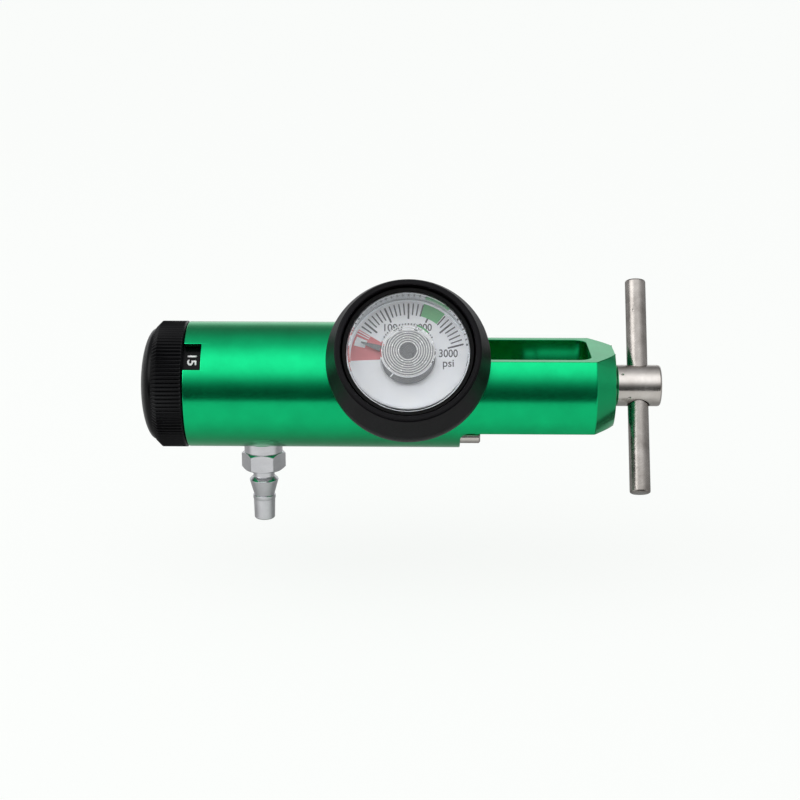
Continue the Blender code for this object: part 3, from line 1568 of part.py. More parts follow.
def hull_outline(centre_a, radius_a, centre_b, radius_b, steps):
    """The outline of two circles with straight sides between them."""
    along = centre_b - centre_a
    heading = math.atan2(along.y, along.x)
    spread = math.acos((radius_a - radius_b) / along.length)
    outline = []
    for i in range(steps + 1):
        angle = heading + spread + (2 * math.pi - 2 * spread) * i / steps
        outline.append(
            (centre_a.x + radius_a * math.cos(angle), centre_a.y + radius_a * math.sin(angle))
        )
    for i in range(steps + 1):
        angle = heading - spread + 2 * spread * i / steps
        outline.append(
            (centre_b.x + radius_b * math.cos(angle), centre_b.y + radius_b * math.sin(angle))
        )
    return outline


def make_movement_plates(axis, pivot):
    """Two brass plates held apart by posts, with the arbors between them."""
    outline = hull_outline(
        Vector((0.0, 0.0, 0.0)), MOVEMENT_CENTRE_RADIUS, pivot, MOVEMENT_PIVOT_RADIUS, 16
    )
    arbor_holes = []
    for name, centre, radius in (
        ("arbor_hole", Vector((0.0, 0.0, 0.0)), ARBOR_RADIUS),
        ("sector_arbor_hole", pivot, SECTOR_ARBOR_RADIUS),
    ):
        hole = rod(
            name,
            radius + GAP,
            BACK_PLATE_LEVEL - 0.001,
            FRONT_PLATE_LEVEL + 0.002,
            TINY_SIDES,
            Matrix.Translation(centre),
            CUTTERS,
        )
        hole.parent = axis
        arbor_holes.append(hole)
    back = flat_shape(
        "movement_back_plate", outline, BACK_PLATE_LEVEL, BACK_PLATE_LEVEL + PLATE_SHEET
    )
    heading = math.atan2(pivot.x, pivot.y)
    for side in (-1, 1):
        foot = dial_point(heading + math.pi + side * math.radians(50.0), POST_DISTANCE)
        post = rod(
            "movement_post",
            POST_RADIUS,
            BACK_PLATE_LEVEL + PLATE_SHEET / 2,
            FRONT_PLATE_LEVEL - GAP,
            TINY_SIDES,
            Matrix.Translation(foot),
        )
        absorb(back, post)
    front = flat_shape(
        "movement_front_plate", outline, FRONT_PLATE_LEVEL, FRONT_PLATE_LEVEL + PLATE_SHEET
    )
    for plate in (back, front):
        plate.parent = axis
        for hole in arbor_holes:
            cut(plate, hole)
        brass(plate)


def tooth_points(centre_angle, root, tip, pitch_radius, width):
    """Four corners of a straight-sided tooth, as (angle, radius) from a gear's centre."""
    root_half = width * 0.68 / pitch_radius
    tip_half = width * 0.26 / pitch_radius
    return [
        (centre_angle - root_half, root),
        (centre_angle - tip_half, tip),
        (centre_angle + tip_half, tip),
        (centre_angle + root_half, root),
    ]


def make_pinion(axis, shaft_top):
    """The pointer's arbor with its pinion. A tooth space faces the sector at rest."""
    root = PINION_RADIUS - 1.25 * GEAR_MODULE
    tip = PINION_RADIUS + 0.8 * GEAR_MODULE
    step = 2 * math.pi / PINION_TEETH
    outline = []
    for i in range(PINION_TEETH):
        centre = SECTOR_ANGLE + (i + 0.5) * step
        for angle, radius in tooth_points(centre, root, tip, PINION_RADIUS, TOOTH_WIDTH):
            point = dial_point(angle, radius)
            outline.append((point.x, point.y))
    arbor = flat_shape("pinion_arbor", outline, GEAR_LEVEL, GEAR_LEVEL + GEAR_THICKNESS)
    shaft = rod(
        "pinion_shaft",
        ARBOR_RADIUS,
        BACK_PLATE_LEVEL,
        shaft_top,
        TINY_SIDES,
        Matrix.Identity(4),
    )
    absorb(arbor, shaft)
    arbor.parent = axis
    brass(arbor)


def make_sector(axis, pivot):
    """The toothed sector on its arbor. Its teeth face the pinion and its tail carries the link."""
    root = SECTOR_RADIUS - 1.25 * GEAR_MODULE
    tip = SECTOR_RADIUS + 0.8 * GEAR_MODULE
    step = 2 * math.pi / SECTOR_TEETH
    inwards = SECTOR_ANGLE + math.pi
    outline = []
    for i in range(-1, 6):
        for angle, radius in tooth_points(
            inwards + i * step, root, tip, SECTOR_RADIUS, TOOTH_WIDTH
        ):
            point = dial_point(angle, radius)
            outline.append((point.x, point.y))
    last = inwards + 5.6 * step
    first = inwards - 1.6 * step
    inner = SECTOR_RADIUS - 0.0016
    ends = [(last, root), (last, inner), (inwards + 2.9 * step, SECTOR_HUB_RADIUS * 0.9)]
    ends += [(inwards + 1.1 * step, SECTOR_HUB_RADIUS * 0.9), (first, inner), (first, root)]
    for angle, radius in ends:
        point = dial_point(angle, radius)
        outline.append((point.x, point.y))
    top = GEAR_LEVEL + GEAR_THICKNESS
    sector = flat_shape("sector_gear", outline, GEAR_LEVEL, top)
    origin = Vector((0.0, 0.0, 0.0))
    tail = dial_point(SECTOR_ANGLE, TAIL_LENGTH)
    arm = flat_shape(
        "sector_tail",
        hull_outline(origin, SECTOR_HUB_RADIUS, tail, TAIL_HALF_WIDTH, 10),
        GEAR_LEVEL,
        top,
    )
    absorb(sector, arm)
    arbor = rod(
        "sector_arbor",
        SECTOR_ARBOR_RADIUS,
        BACK_PLATE_LEVEL,
        FRONT_PLATE_LEVEL + PLATE_SHEET,
        TINY_SIDES,
        Matrix.Identity(4),
    )
    absorb(sector, arbor)
    pin = rod(
        "sector_pin",
        LINK_PIN_RADIUS,
        GEAR_LEVEL + GEAR_THICKNESS / 2,
        LINK_LEVEL + LINK_THICKNESS + GAP,
        TINY_SIDES,
        Matrix.Translation(tail),
    )
    absorb(sector, pin)
    sector.parent = axis
    sector.location = pivot
    brass(sector)


def make_link(axis, pivot):
    """The flat link from the sector's tail to the tube's tip."""
    start = pivot + dial_point(SECTOR_ANGLE, TAIL_LENGTH)
    end = dial_point(TUBE_TIP_ANGLE, TUBE_RADIUS)
    origin = Vector((0.0, 0.0, 0.0))
    reach = end - start
    link = flat_shape(
        "tube_link",
        hull_outline(origin, TAIL_HALF_WIDTH, reach, TAIL_HALF_WIDTH * 0.999, 10),
        LINK_LEVEL,
        LINK_LEVEL + LINK_THICKNESS,
    )
    link.parent = axis
    link.location = start
    for name, centre in (("link_tail_hole", start), ("link_tip_hole", end)):
        hole = rod(
            name,
            LINK_PIN_RADIUS + GAP,
            LINK_LEVEL - 0.001,
            LINK_LEVEL + LINK_THICKNESS + 0.001,
            TINY_SIDES,
            Matrix.Translation(centre),
            CUTTERS,
        )
        hole.parent = axis
        cut(link, hole)
    brass(link)


def make_gauge():
    axis = bpy.data.objects.new("gauge_axis", None)
    bpy.data.collections[PARTS].objects.link(axis)
    axis.matrix_world = gauge_frame()
    pivot = dial_point(SECTOR_ANGLE, SECTOR_DISTANCE)
    make_gauge_shell(axis)
    shaft_top = make_pointer(axis)
    make_socket(axis)
    make_tube(axis)
    make_movement_plates(axis, pivot)
    make_pinion(axis, shaft_top)
    make_sector(axis, pivot)
    make_link(axis, pivot)


def main():
    clear_scene()
    new_collection(PARTS)
    new_collection(CUTTERS)
    make_body()
    make_sleeve()
    make_inlet()
    make_piston()
    make_seat_block()
    make_orifice_plate()
    make_spindle()
    make_core_cap()
    make_detent()
    make_knob()
    make_knob_screw()
    make_outlet()
    make_clamp()
    make_gauge()


main()
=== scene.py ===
import math

import bpy
from mathutils import Matrix, Vector


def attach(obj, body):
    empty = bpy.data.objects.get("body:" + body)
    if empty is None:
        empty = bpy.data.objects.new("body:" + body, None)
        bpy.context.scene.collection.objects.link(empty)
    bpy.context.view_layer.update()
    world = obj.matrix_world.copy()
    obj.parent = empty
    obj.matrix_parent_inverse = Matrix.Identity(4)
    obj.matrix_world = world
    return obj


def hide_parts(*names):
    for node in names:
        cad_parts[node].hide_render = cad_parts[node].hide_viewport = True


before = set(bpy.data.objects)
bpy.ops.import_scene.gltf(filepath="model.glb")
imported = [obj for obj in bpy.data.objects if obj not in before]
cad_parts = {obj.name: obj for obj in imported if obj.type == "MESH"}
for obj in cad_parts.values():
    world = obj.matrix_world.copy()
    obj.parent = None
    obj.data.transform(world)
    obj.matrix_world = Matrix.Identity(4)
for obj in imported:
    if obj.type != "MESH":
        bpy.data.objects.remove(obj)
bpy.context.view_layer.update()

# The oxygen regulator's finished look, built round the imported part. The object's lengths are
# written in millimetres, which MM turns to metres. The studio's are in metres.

MM = 0.001
# Points closer together than a thousandth of a millimetre are made one.
WELD = 0.000001
# The bar runs along X. The gauge, the outlet and the clamp's cross bar each have their own axis.
ALONG_X = Matrix.Rotation(math.pi / 2, 4, "Y")
GAUGE_TILT = math.radians(61.0)
GAUGE = Matrix.Translation((-14.2 * MM, 0, 0)) @ Matrix.Rotation(GAUGE_TILT, 4, "X")
OUTLET = Matrix.Translation((-55.3 * MM, 0, 0))
HANDLE_LEAN = math.radians(28.9)
HANDLE = Matrix.Translation((49.6 * MM, 0, 0)) @ Matrix.Rotation(-HANDLE_LEAN, 4, "X")
PIN_SPREAD = 4.42
PIN_DROP = 13.6


def pin_seat(side):
    """Where the near (-1) or far (1) index pin stands, with its axis along the bar."""
    return Matrix.Translation((0, PIN_SPREAD * MM * side, -PIN_DROP * MM)) @ ALONG_X


# Modelling by hand, in code


def only(obj):
    """Deselects everything but this piece, and makes it active."""
    bpy.ops.object.select_all(action="DESELECT")
    obj.select_set(True)
    bpy.context.view_layer.objects.active = obj


def start(name):
    """Names the primitive just added, with all of it selected in edit mode."""
    obj = bpy.context.object
    obj.name = name
    obj.data.name = name
    only(obj)
    bpy.ops.object.mode_set(mode="EDIT")
    bpy.ops.mesh.select_all(action="SELECT")
    return obj


def done(obj, place=None, angle=30.0):
    """Faces outwards, shades smooth up to an angle, and puts the piece in its place."""
    bpy.ops.object.mode_set(mode="EDIT")
    bpy.ops.mesh.select_all(action="SELECT")
    bpy.ops.mesh.remove_doubles(threshold=WELD)
    bpy.ops.mesh.normals_make_consistent(inside=False)
    bpy.ops.object.mode_set(mode="OBJECT")
    if place is not None:
        obj.matrix_world = place @ obj.matrix_world
    only(obj)
    bpy.ops.object.transform_apply(location=True, rotation=True, scale=True)
    bpy.ops.object.shade_smooth_by_angle(angle=math.radians(angle))
    return obj


def draw_out(name, steps, sides, ring=False):
    """A round piece drawn out along Z.

    A disc is extruded and scaled through pairs of radius and station, in mm. A ring comes back
    to its first pair, and there its first and last discs are taken out.
    """
    radius, station = steps[0]
    bpy.ops.object.select_all(action="DESELECT")
    bpy.ops.mesh.primitive_circle_add(
        vertices=sides, radius=radius * MM, fill_type="NGON", location=(0, 0, station * MM)
    )
    obj = start(name)
    for new_radius, new_station in steps[1:]:
        rise = (0, 0, (new_station - station) * MM)
        bpy.ops.mesh.extrude_region_move(TRANSFORM_OT_translate={"value": rise})
        share = new_radius / radius
        bpy.ops.transform.resize(
            value=(share, share, 1), center_override=(0, 0, new_station * MM)
        )
        radius, station = new_radius, new_station
    if ring:
        bpy.ops.object.mode_set(mode="OBJECT")
        for face in obj.data.polygons:
            face.select = face.index == 0 or face.select
        bpy.ops.object.mode_set(mode="EDIT")
        bpy.ops.mesh.select_mode(type="FACE")
        bpy.ops.mesh.delete(type="ONLY_FACE")
    bpy.ops.mesh.select_mode(type="VERT")
    bpy.ops.mesh.select_all(action="SELECT")
    bpy.ops.mesh.remove_doubles(threshold=WELD)
    bpy.ops.object.mode_set(mode="OBJECT")
    only(obj)
    bpy.ops.object.transform_apply(location=True, rotation=True, scale=True)
    return obj


def block(name, low, high):
    """A cube primitive at its size and place, corners in mm."""
    centre = [(a + b) / 2 * MM for a, b in zip(low, high)]
    size = [(b - a) * MM for a, b in zip(low, high)]
    bpy.ops.object.select_all(action="DESELECT")
    bpy.ops.mesh.primitive_cube_add(size=1, location=centre, scale=size)
    obj = start(name)
    bpy.ops.object.mode_set(mode="OBJECT")
    only(obj)
    bpy.ops.object.transform_apply(location=True, rotation=True, scale=True)
    return obj


def unselect(*groups):
    """Clears the selection that a new shape starts with."""
    for group in groups:
        for item in group:
            item.select = False


def settle(obj, modifier):
    """Applies a modifier, so that it becomes part of the mesh."""
    only(obj)
    bpy.ops.object.modifier_apply(modifier=modifier.name)


def round_edges(obj, chosen, radius, segments):
    """Bevels the edges whose middle and direction pass the test."""
    unselect(obj.data.polygons, obj.data.edges, obj.data.vertices)
    points = obj.data.vertices
    for edge in obj.data.edges:
        a, b = (points[i].co / MM for i in edge.vertices)
        edge.select = chosen((a + b) / 2, (b - a).normalized())
    only(obj)
    bpy.ops.object.mode_set(mode="EDIT")
    bpy.ops.mesh.select_mode(type="EDGE")
    bpy.ops.mesh.bevel(offset=radius * MM, segments=segments, affect="EDGES")
    bpy.ops.mesh.select_mode(type="VERT")
    bpy.ops.object.mode_set(mode="OBJECT")


def combine(obj, other, operation="DIFFERENCE"):
    """Cuts or joins with another piece for good."""
    modifier = obj.modifiers.new("cut", "BOOLEAN")
    modifier.operation = operation
    modifier.solver = "EXACT"
    modifier.object = other
    settle(obj, modifier)
    bpy.data.objects.remove(other)


def break_edges(obj, width, angle=32.0, segments=2):
    """The small chamfer that a maker leaves on every machined edge."""
    modifier = obj.modifiers.new("edges", "BEVEL")
    modifier.width = width * MM
    modifier.segments = segments
    modifier.limit_method = "ANGLE"
    modifier.angle_limit = math.radians(angle)
    modifier.use_clamp_overlap = False
    settle(obj, modifier)


def join(name, pieces):
    """Several loose shapes made one piece."""
    bpy.ops.object.select_all(action="DESELECT")
    for piece in pieces:
        piece.select_set(True)
    bpy.context.view_layer.objects.active = pieces[0]
    if len(pieces) > 1:
        bpy.ops.object.join()
    pieces[0].name = name
    pieces[0].data.name = name
    return pieces[0]


# Materials


def colour(text):
    """An sRGB hex value as linear RGBA."""
    values = [int(text[i : i + 2], 16) / 255 for i in (0, 2, 4)]
    linear = [v / 12.92 if v <= 0.04045 else ((v + 0.055) / 1.055) ** 2.4 for v in values]
    return (*linear, 1.0)


def add(tree, kind, settings=None, links=None):
    """Adds a node with its settings and its links."""
    made = tree.nodes.new(kind)
    for key, value in (settings or {}).items():
        if isinstance(key, str) and hasattr(made, key):
            setattr(made, key, value)
        else:
            made.inputs[key].default_value = value
    for key, socket in (links or {}).items():
        tree.links.new(socket, made.inputs[key])
    return made


def base(name, hexa, metallic, roughness, **more):
    """A material with its plain values on the shader's own sockets."""
    material = bpy.data.materials.new(name)
    material.use_nodes = True
    shader = material.node_tree.nodes["Principled BSDF"]
    shader.inputs["Base Color"].default_value = colour(hexa)
    shader.inputs["Metallic"].default_value = metallic
    shader.inputs["Roughness"].default_value = roughness
    for key, value in more.items():
        shader.inputs[key.replace("_", " ")].default_value = value
    material.diffuse_color = colour(hexa)
    return material, material.node_tree, shader


# Nearly all of a noise lies between these two.
NOISE_LOW = 0.3
NOISE_HIGH = 0.7


def grain(tree, size, stretch=(1, 1, 1), detail=3.0, turn=(0, 0, 0)):
    """Noise in object space with grains of one size in mm, longer where stretch is below one."""
    where = add(tree, "ShaderNodeTexCoord")
    mapped = add(
        tree,
        "ShaderNodeMapping",
        {"Scale": stretch, "Rotation": turn},
        {"Vector": where.outputs["Object"]},
    )
    return add(
        tree,
        "ShaderNodeTexNoise",
        {"Scale": 1 / (size * MM), "Detail": detail, "Roughness": 0.6},
        {"Vector": mapped.outputs["Vector"]},
    ).outputs["Fac"]


def surface(tree, shader, tones, broad, fine, wear, depth):
    """Gives a shader its change of tone, its change of roughness and its relief, depth in mm.

    broad and fine are noises. wear is a noise, its least and most, and the roughness at both.
    """
    share = add(
        tree,
        "ShaderNodeMapRange",
        {"From Min": NOISE_LOW, "From Max": NOISE_HIGH},
        {"Value": broad},
    )
    tone = add(
        tree,
        "ShaderNodeMix",
        {"data_type": "RGBA", 6: colour(tones[0]), 7: colour(tones[1])},
        {0: share.outputs["Result"]},
    )
    noise, least, most, low, high = wear
    rough = add(
        tree,
        "ShaderNodeMapRange",
        {"From Min": least, "From Max": most, "To Min": low, "To Max": high},
        {"Value": noise},
    )
    relief = add(
        tree, "ShaderNodeBump", {"Strength": 1.0, "Distance": depth * MM}, {"Height": fine}
    )
    tree.links.new(tone.outputs[2], shader.inputs["Base Color"])
    tree.links.new(rough.outputs["Result"], shader.inputs["Roughness"])
    tree.links.new(relief.outputs["Normal"], shader.inputs["Normal"])


def turned_metal(name, dark, light, roughness, pitch, stretch, depth, turn=(0, 0, 0)):
    """Metal with fine tool lines, which run where stretch is low, and some wear from handling."""
    material, tree, shader = base(name, light, 1.0, roughness)
    lines = grain(tree, pitch, stretch, 2.0, turn)
    smears = grain(tree, 6.0, detail=4.0)
    both = add(tree, "ShaderNodeMath", {"operation": "ADD"}, {0: lines, 1: smears})
    wear = (both.outputs[0], 0.7, 1.3, roughness * 0.7, roughness * 1.3)
    surface(tree, shader, (dark, light), smears, lines, wear, depth)
    return material


def moulded(name, dark, light, roughness, grit, depth, metallic=0.0, **more):
    """An even surface with a fine grain of one size and a faint change of tone."""
    material, tree, shader = base(name, light, metallic, roughness, **more)
    fine = grain(tree, grit, detail=2.0)
    broad = grain(tree, 7.0)
    wear = (fine, NOISE_LOW, NOISE_HIGH, roughness * 0.85, roughness * 1.15)
    surface(tree, shader, (dark, light), broad, fine, wear, depth)
    return material


def make_finishes():
    """All finishes, by name. Sizes of grit and spacings of tool lines are in mm.

    Real ones are 0.05 to 0.2 mm here, too fine to show, so they are drawn coarser.
    """
    rings = (1, 0.03, 0.03)
    finishes = {}
    # Bead-blasted and dyed aluminium: a deep, even, satin green.
    finishes["anodised"] = moulded(
        "green_anodised_aluminium", "03AD6A", "05B972", 0.22, 0.5, 0.0015, 1.0,
        Coat_Weight=0.12, Coat_Roughness=0.2,
    )
    # Black anodising is a dyed oxide, so it shines like a dark glaze with soft light on every rib.
    finishes["knob"] = moulded(
        "black_anodised_aluminium", "050506", "08080A", 0.24, 0.4, 0.002, Specular_IOR_Level=0.1
    )
    # Moulded rubber: charcoal and half dull, from the spark-eroded grain of its mould.
    finishes["rubber"] = moulded(
        "moulded_rubber", "0A090B", "0F0E11", 0.42, 0.45, 0.02, Specular_IOR_Level=0.1
    )
    # O-ring rubber: black and dull.
    finishes["seal"] = moulded("o_ring_rubber", "0E0E0E", "141414", 0.55, 0.3, 0.01)
    # Baked enamel on the gauge's steel case: black, with a low gloss.
    finishes["enamel"] = moulded(
        "black_enamel", "020202", "040404", 0.4, 0.4, 0.004, Specular_IOR_Level=0.1
    )
    # Stainless steel from the lathe: warm grey, with fine rings that catch the light.
    finishes["steel"] = turned_metal(
        "turned_stainless_steel", "B3ADA7", "C9C4BF", 0.2, 0.35, rings, 0.006
    )
    # Drawn stainless bar: streaks along its length, with small pits between them.
    lean = (HANDLE_LEAN, 0, 0)
    finishes["drawn"] = turned_metal(
        "drawn_stainless_bar", "837E79", "A8A39E", 0.26, 0.3, (1, 1, 0.12), 0.028, lean
    )
    # Satin nickel plate on turned brass: cooler and smoother than the steel.
    finishes["nickel"] = turned_metal(
        "satin_nickel_plate", "C2C2C5", "D6D6D9", 0.2, 0.3, (0.03, 0.03, 1), 0.004
    )
    # Bare turned brass.
    finishes["brass"] = turned_metal("turned_brass", "B28F4C", "C5A35E", 0.26, 0.3, rings, 0.004)
    # Sintered bronze: rough grains fused together.
    finishes["bronze"] = moulded("sintered_bronze", "7A5636", "9A7048", 0.6, 0.2, 0.03, 1.0)
    # Spring wire: hard drawn and dark.
    finishes["spring"] = turned_metal(
        "drawn_spring_wire", "7E7E7E", "969696", 0.3, 0.3, rings, 0.002
    )
    # Nylon of the seat: milky, with a soft sheen.
    finishes["nylon"] = moulded("machined_nylon", "DCDCD6", "E6E6E0", 0.45, 0.4, 0.004)
    # The dial is screen printed on sheet: cold white paint, with thin flat inks on it.
    finishes["dial"] = moulded("white_dial_paint", "F6F9FD", "FAFCFE", 0.5, 0.5, 0.002)
    finishes["ink"] = moulded("grey_dial_ink", "36383D", "404247", 0.5, 0.5, 0.001)
    finishes["red_ink"] = moulded("red_dial_ink", "DC767C", "E27F85", 0.5, 0.5, 0.001)
    finishes["green_ink"] = moulded("green_dial_ink", "5FBE78", "69C681", 0.5, 0.5, 0.001)
    # Sprayed paint on the pointer: mid grey and half dull.
    finishes["pointer"] = moulded("grey_pointer_paint", "6E7174", "787B7E", 0.4, 0.4, 0.002)
    # Paint wiped into the engraved flow numbers: chalky white.
    finishes["white_fill"] = moulded("white_number_paint", "E4E4E2", "F0F0EE", 0.5, 0.3, 0.003)
    # Zinc plate inside the case: pale grey metal, half mirror, that throws light on the dial.
    finishes["zinc"] = moulded("bright_zinc_plate", "DCE0E4", "E6E9EC", 0.22, 0.5, 0.003, 1.0)
    # Clear moulded acrylic: glossy and see-through, very slightly hazed from wiping.
    finishes["lens"] = make_acrylic("clear_acrylic", 0.03, 1.0)
    # The window's fine moulded rings scatter light, so they look frosted.
    finishes["frosted"] = make_acrylic("frosted_acrylic", 0.25, 0.35)
    return finishes


def make_acrylic(name, roughness, clearness):
    """Acrylic, with a haze that comes and goes over the surface."""
    material, tree, shader = base(
        name, "FFFFFF", 0.0, roughness, IOR=1.46, Transmission_Weight=clearness
    )
    haze = grain(tree, 1.5, detail=2.0)
    rough = add(
        tree,
        "ShaderNodeMapRange",
        {
            "From Min": NOISE_LOW,
            "From Max": NOISE_HIGH,
            "To Min": roughness * 0.6,
            "To Max": roughness * 1.2,
        },
        {"Value": haze},
    )
    tree.links.new(rough.outputs["Result"], shader.inputs["Roughness"])
    return material


def even_light(obj):
    """Normals that follow the large faces, so that no small face bends the light beside it."""
    modifier = obj.modifiers.new("even_light", "WEIGHTED_NORMAL")
    modifier.keep_sharp = True
    settle(obj, modifier)


def dress(obj, finish, body, *nodes):
    """Gives a piece its material and lets it stand for its CAD nodes."""
    even_light(obj)
    obj.data.materials.clear()
    obj.data.materials.append(finish)
    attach(obj, body)
    if nodes:
        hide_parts(*nodes)
    return obj


# The body


BAR_RADIUS = 17.46
# Extra rings along the bar keep the light even: a cut bends it no further than the next ring.
BAR_RINGS = (
    -72.0, -68.0, -60.0, -50.0, -40.0, -30.0, -20.0, -10.0, -4.0, -1.5, -0.4, 4.0, 12.0, 22.0, 32.0,
)
# The yoke's two flats, and the slot through it from the inlet's face to the clamp screw's end.
YOKE_HALF_HEIGHT = 10.22
SLOT_HALF_WIDTH = 11.5
SLOT_END = 35.7
# Cutters reach past the bar by this much from its axis.
PAST_BAR = 24.0
# The notch that shows a flow number is this many degrees up from level, on the near side.
WINDOW_TURN = 40.4
VENT = Matrix.Translation((-35.875 * MM, 0, 0)) @ Matrix.Rotation(-math.pi / 2, 4, "X")


def make_body(finish):
    """The green bar, turned, then milled to its yoke, slotted and drilled."""
    body = draw_out(
        "body_bar",
        [
            (15.6, -75.4),
            (BAR_RADIUS, -75.4),
            *((BAR_RADIUS, level) for level in BAR_RINGS),
            (BAR_RADIUS, 36.7),
            (11.37, 42.6),
            (4.9, 42.6),
            (4.9, 1.0),
            (4.3, 1.0),
            (4.3, -4.0),
            (8.8, -4.0),
            (8.8, -27.45),
            (14.2, -27.45),
            (14.2, -66.3),
            (15.6, -66.3),
            (15.6, -75.4),
        ],
        192,
        ring=True,
    )
    done(body, ALONG_X)
    for side in (1, -1):
        inner = YOKE_HALF_HEIGHT * side
        near, far = sorted((inner, PAST_BAR * side))
        flat = block("flat_cutter", (0.0, -PAST_BAR, near), (50.0, PAST_BAR, far))
        round_edges(
            flat, lambda m, d, z=inner: abs(m.x) < 0.01 and abs(m.z - z) < 0.01, 2.4, 10
        )
        combine(body, flat)
    slot = block(
        "slot_cutter",
        (0.0, -SLOT_HALF_WIDTH, -PAST_BAR),
        (SLOT_END, SLOT_HALF_WIDTH, PAST_BAR),
    )
    round_edges(slot, lambda m, d: m.x > SLOT_END - 0.1 and abs(d.z) > 0.9, 3.5, 10)
    combine(body, slot)
    window = block("window_cutter", (-80.0, -3.94, 14.6), (-70.65, 3.94, 20.0))
    window.data.transform(Matrix.Rotation(math.pi / 2 - math.radians(WINDOW_TURN), 4, "X"))
    combine(body, window)
    for place, radius, low, high in (
        (GAUGE, 5.0, 4.0, 20.0),
        (OUTLET, 4.2, -20.0, -12.0),
        (OUTLET, 5.5, -20.0, -16.45),
        (VENT, 0.8, 12.0, 20.0),
        (pin_seat(-1), 2.3, -6.0, 1.0),
        (pin_seat(1), 2.3, -6.0, 1.0),
    ):
        # Turned a little, so that none of the hole's corners meets an edge of the bar.
        hole = draw_out("hole_cutter", [(radius, low), (radius, high)], 44)
        hole.data.transform(Matrix.Rotation(0.03, 4, "Z"))
        done(hole, place)
        combine(body, hole)
    break_edges(body, 0.22)
    done(body)
    return dress(body, finish["anodised"], "regulator", "regulator_body")


# The knob and its numbers


RIBS = 96
# Every rib has four columns of points: its crown, two shoulders and the valley beside it.
RIB_COLUMNS = 4
GRIP_RADIUS = 17.6
DOME_RADIUS = 15.6
DOME_START = -84.35


def make_knob(finish):
    """The knob with its domed end and ribbed grip, and the screw in its middle."""
    dome = []
    for i in range(1, 15):
        angle = math.pi / 2 * i / 15
        dome.append((DOME_RADIUS * math.cos(angle), DOME_START - 4.32 * math.sin(angle)))
    steps = [
        (13.0, -74.0),
        (13.0, -66.7),
        (15.3, -66.7),
        (15.3, -75.7),
        (17.3, -75.7),
        (GRIP_RADIUS, -76.0),
        (GRIP_RADIUS, -76.4),
        (GRIP_RADIUS, -82.8),
        (16.05, DOME_START),
        (DOME_RADIUS, -84.36),
        *dome[:12],
        (3.2, dome[12][1]),
        (3.0, dome[12][1] + 0.2),
        (3.0, -85.2),
    ]
    columns = RIBS * RIB_COLUMNS
    knob = draw_out("knob_grip", steps, columns)
    # The valley is sunk the most, and the shoulders a little.
    for column, depth in ((0, 0.42), (1, 0.13), (3, 0.13)):
        for vertex in knob.data.vertices:
            x, y, z = vertex.co / MM
            turn = round(math.atan2(y, x) / (2 * math.pi) * columns) % RIB_COLUMNS
            on_grip = -84.5 < z < -76.2 and math.hypot(x, y) > 15.9
            vertex.select = on_grip and turn == column
        unselect(knob.data.edges, knob.data.polygons)
        only(knob)
        bpy.ops.object.mode_set(mode="EDIT")
        share = 1 - depth / GRIP_RADIUS
        bpy.ops.transform.resize(value=(share, share, 1), center_override=(0, 0, 0))
        bpy.ops.object.mode_set(mode="OBJECT")
    done(knob, ALONG_X, 40)
    dress(knob, finish["knob"], "knob", "flow_knob")
    screw = draw_out(
        "knob_screw_head",
        [(1.3, -75.3), (1.3, -85.45), (2.7, -85.45), (2.7, -87.9), (2.4, -88.15)],
        48,
    )
    key = draw_out("key_cutter", [(1.44, -89.0), (1.44, -86.8)], 6)
    combine(screw, key)
    done(screw, ALONG_X)
    dress(screw, finish["steel"], "knob", "knob_screw")


DRUM_RADIUS = 15.33
# In the order in which the notch shows them as the knob turns back from its stop.
FLOW_NUMBERS = ("15", "10", "8", "6", "5", "4", "3", "2", "1.5", "1", "0.5", "0")
FIRST_NUMBER_TURN = 40.3
NUMBER_STEP = 30.0


def flow_number(text, turn):
    """One flow number, bent round the drum, with its top towards the yoke."""
    bpy.ops.object.select_all(action="DESELECT")
    bpy.ops.object.text_add()
    obj = bpy.context.object
    obj.data.body = text
    obj.data.align_x = "CENTER"
    obj.data.align_y = "CENTER"
    obj.data.size = 3.9 * MM
    obj.data.offset = 0.09 * MM
    only(obj)
    bpy.ops.object.convert(target="MESH")
    obj = start("flow_number")
    bpy.ops.mesh.subdivide(number_cuts=2)
    bpy.ops.object.mode_set(mode="OBJECT")
    radius = DRUM_RADIUS * MM
    for vertex in obj.data.vertices:
        x, y, _ = vertex.co
        angle = turn - x / radius
        vertex.co = (-73.3 * MM + 0.88 * y, -radius * math.cos(angle), radius * math.sin(angle))
    return obj


def make_numbers(finish):
    """The ring of numbers round the knob's skirt. The notch shows one at a time."""
    pieces = [
        flow_number(text, math.radians(FIRST_NUMBER_TURN - NUMBER_STEP * i))
        for i, text in enumerate(FLOW_NUMBERS)
    ]
    ring = join("flow_numbers", pieces)
    thicken = ring.modifiers.new("ink", "SOLIDIFY")
    thicken.thickness = 0.02 * MM
    settle(ring, thicken)
    dress(ring, finish["white_fill"], "knob")


# The clamp


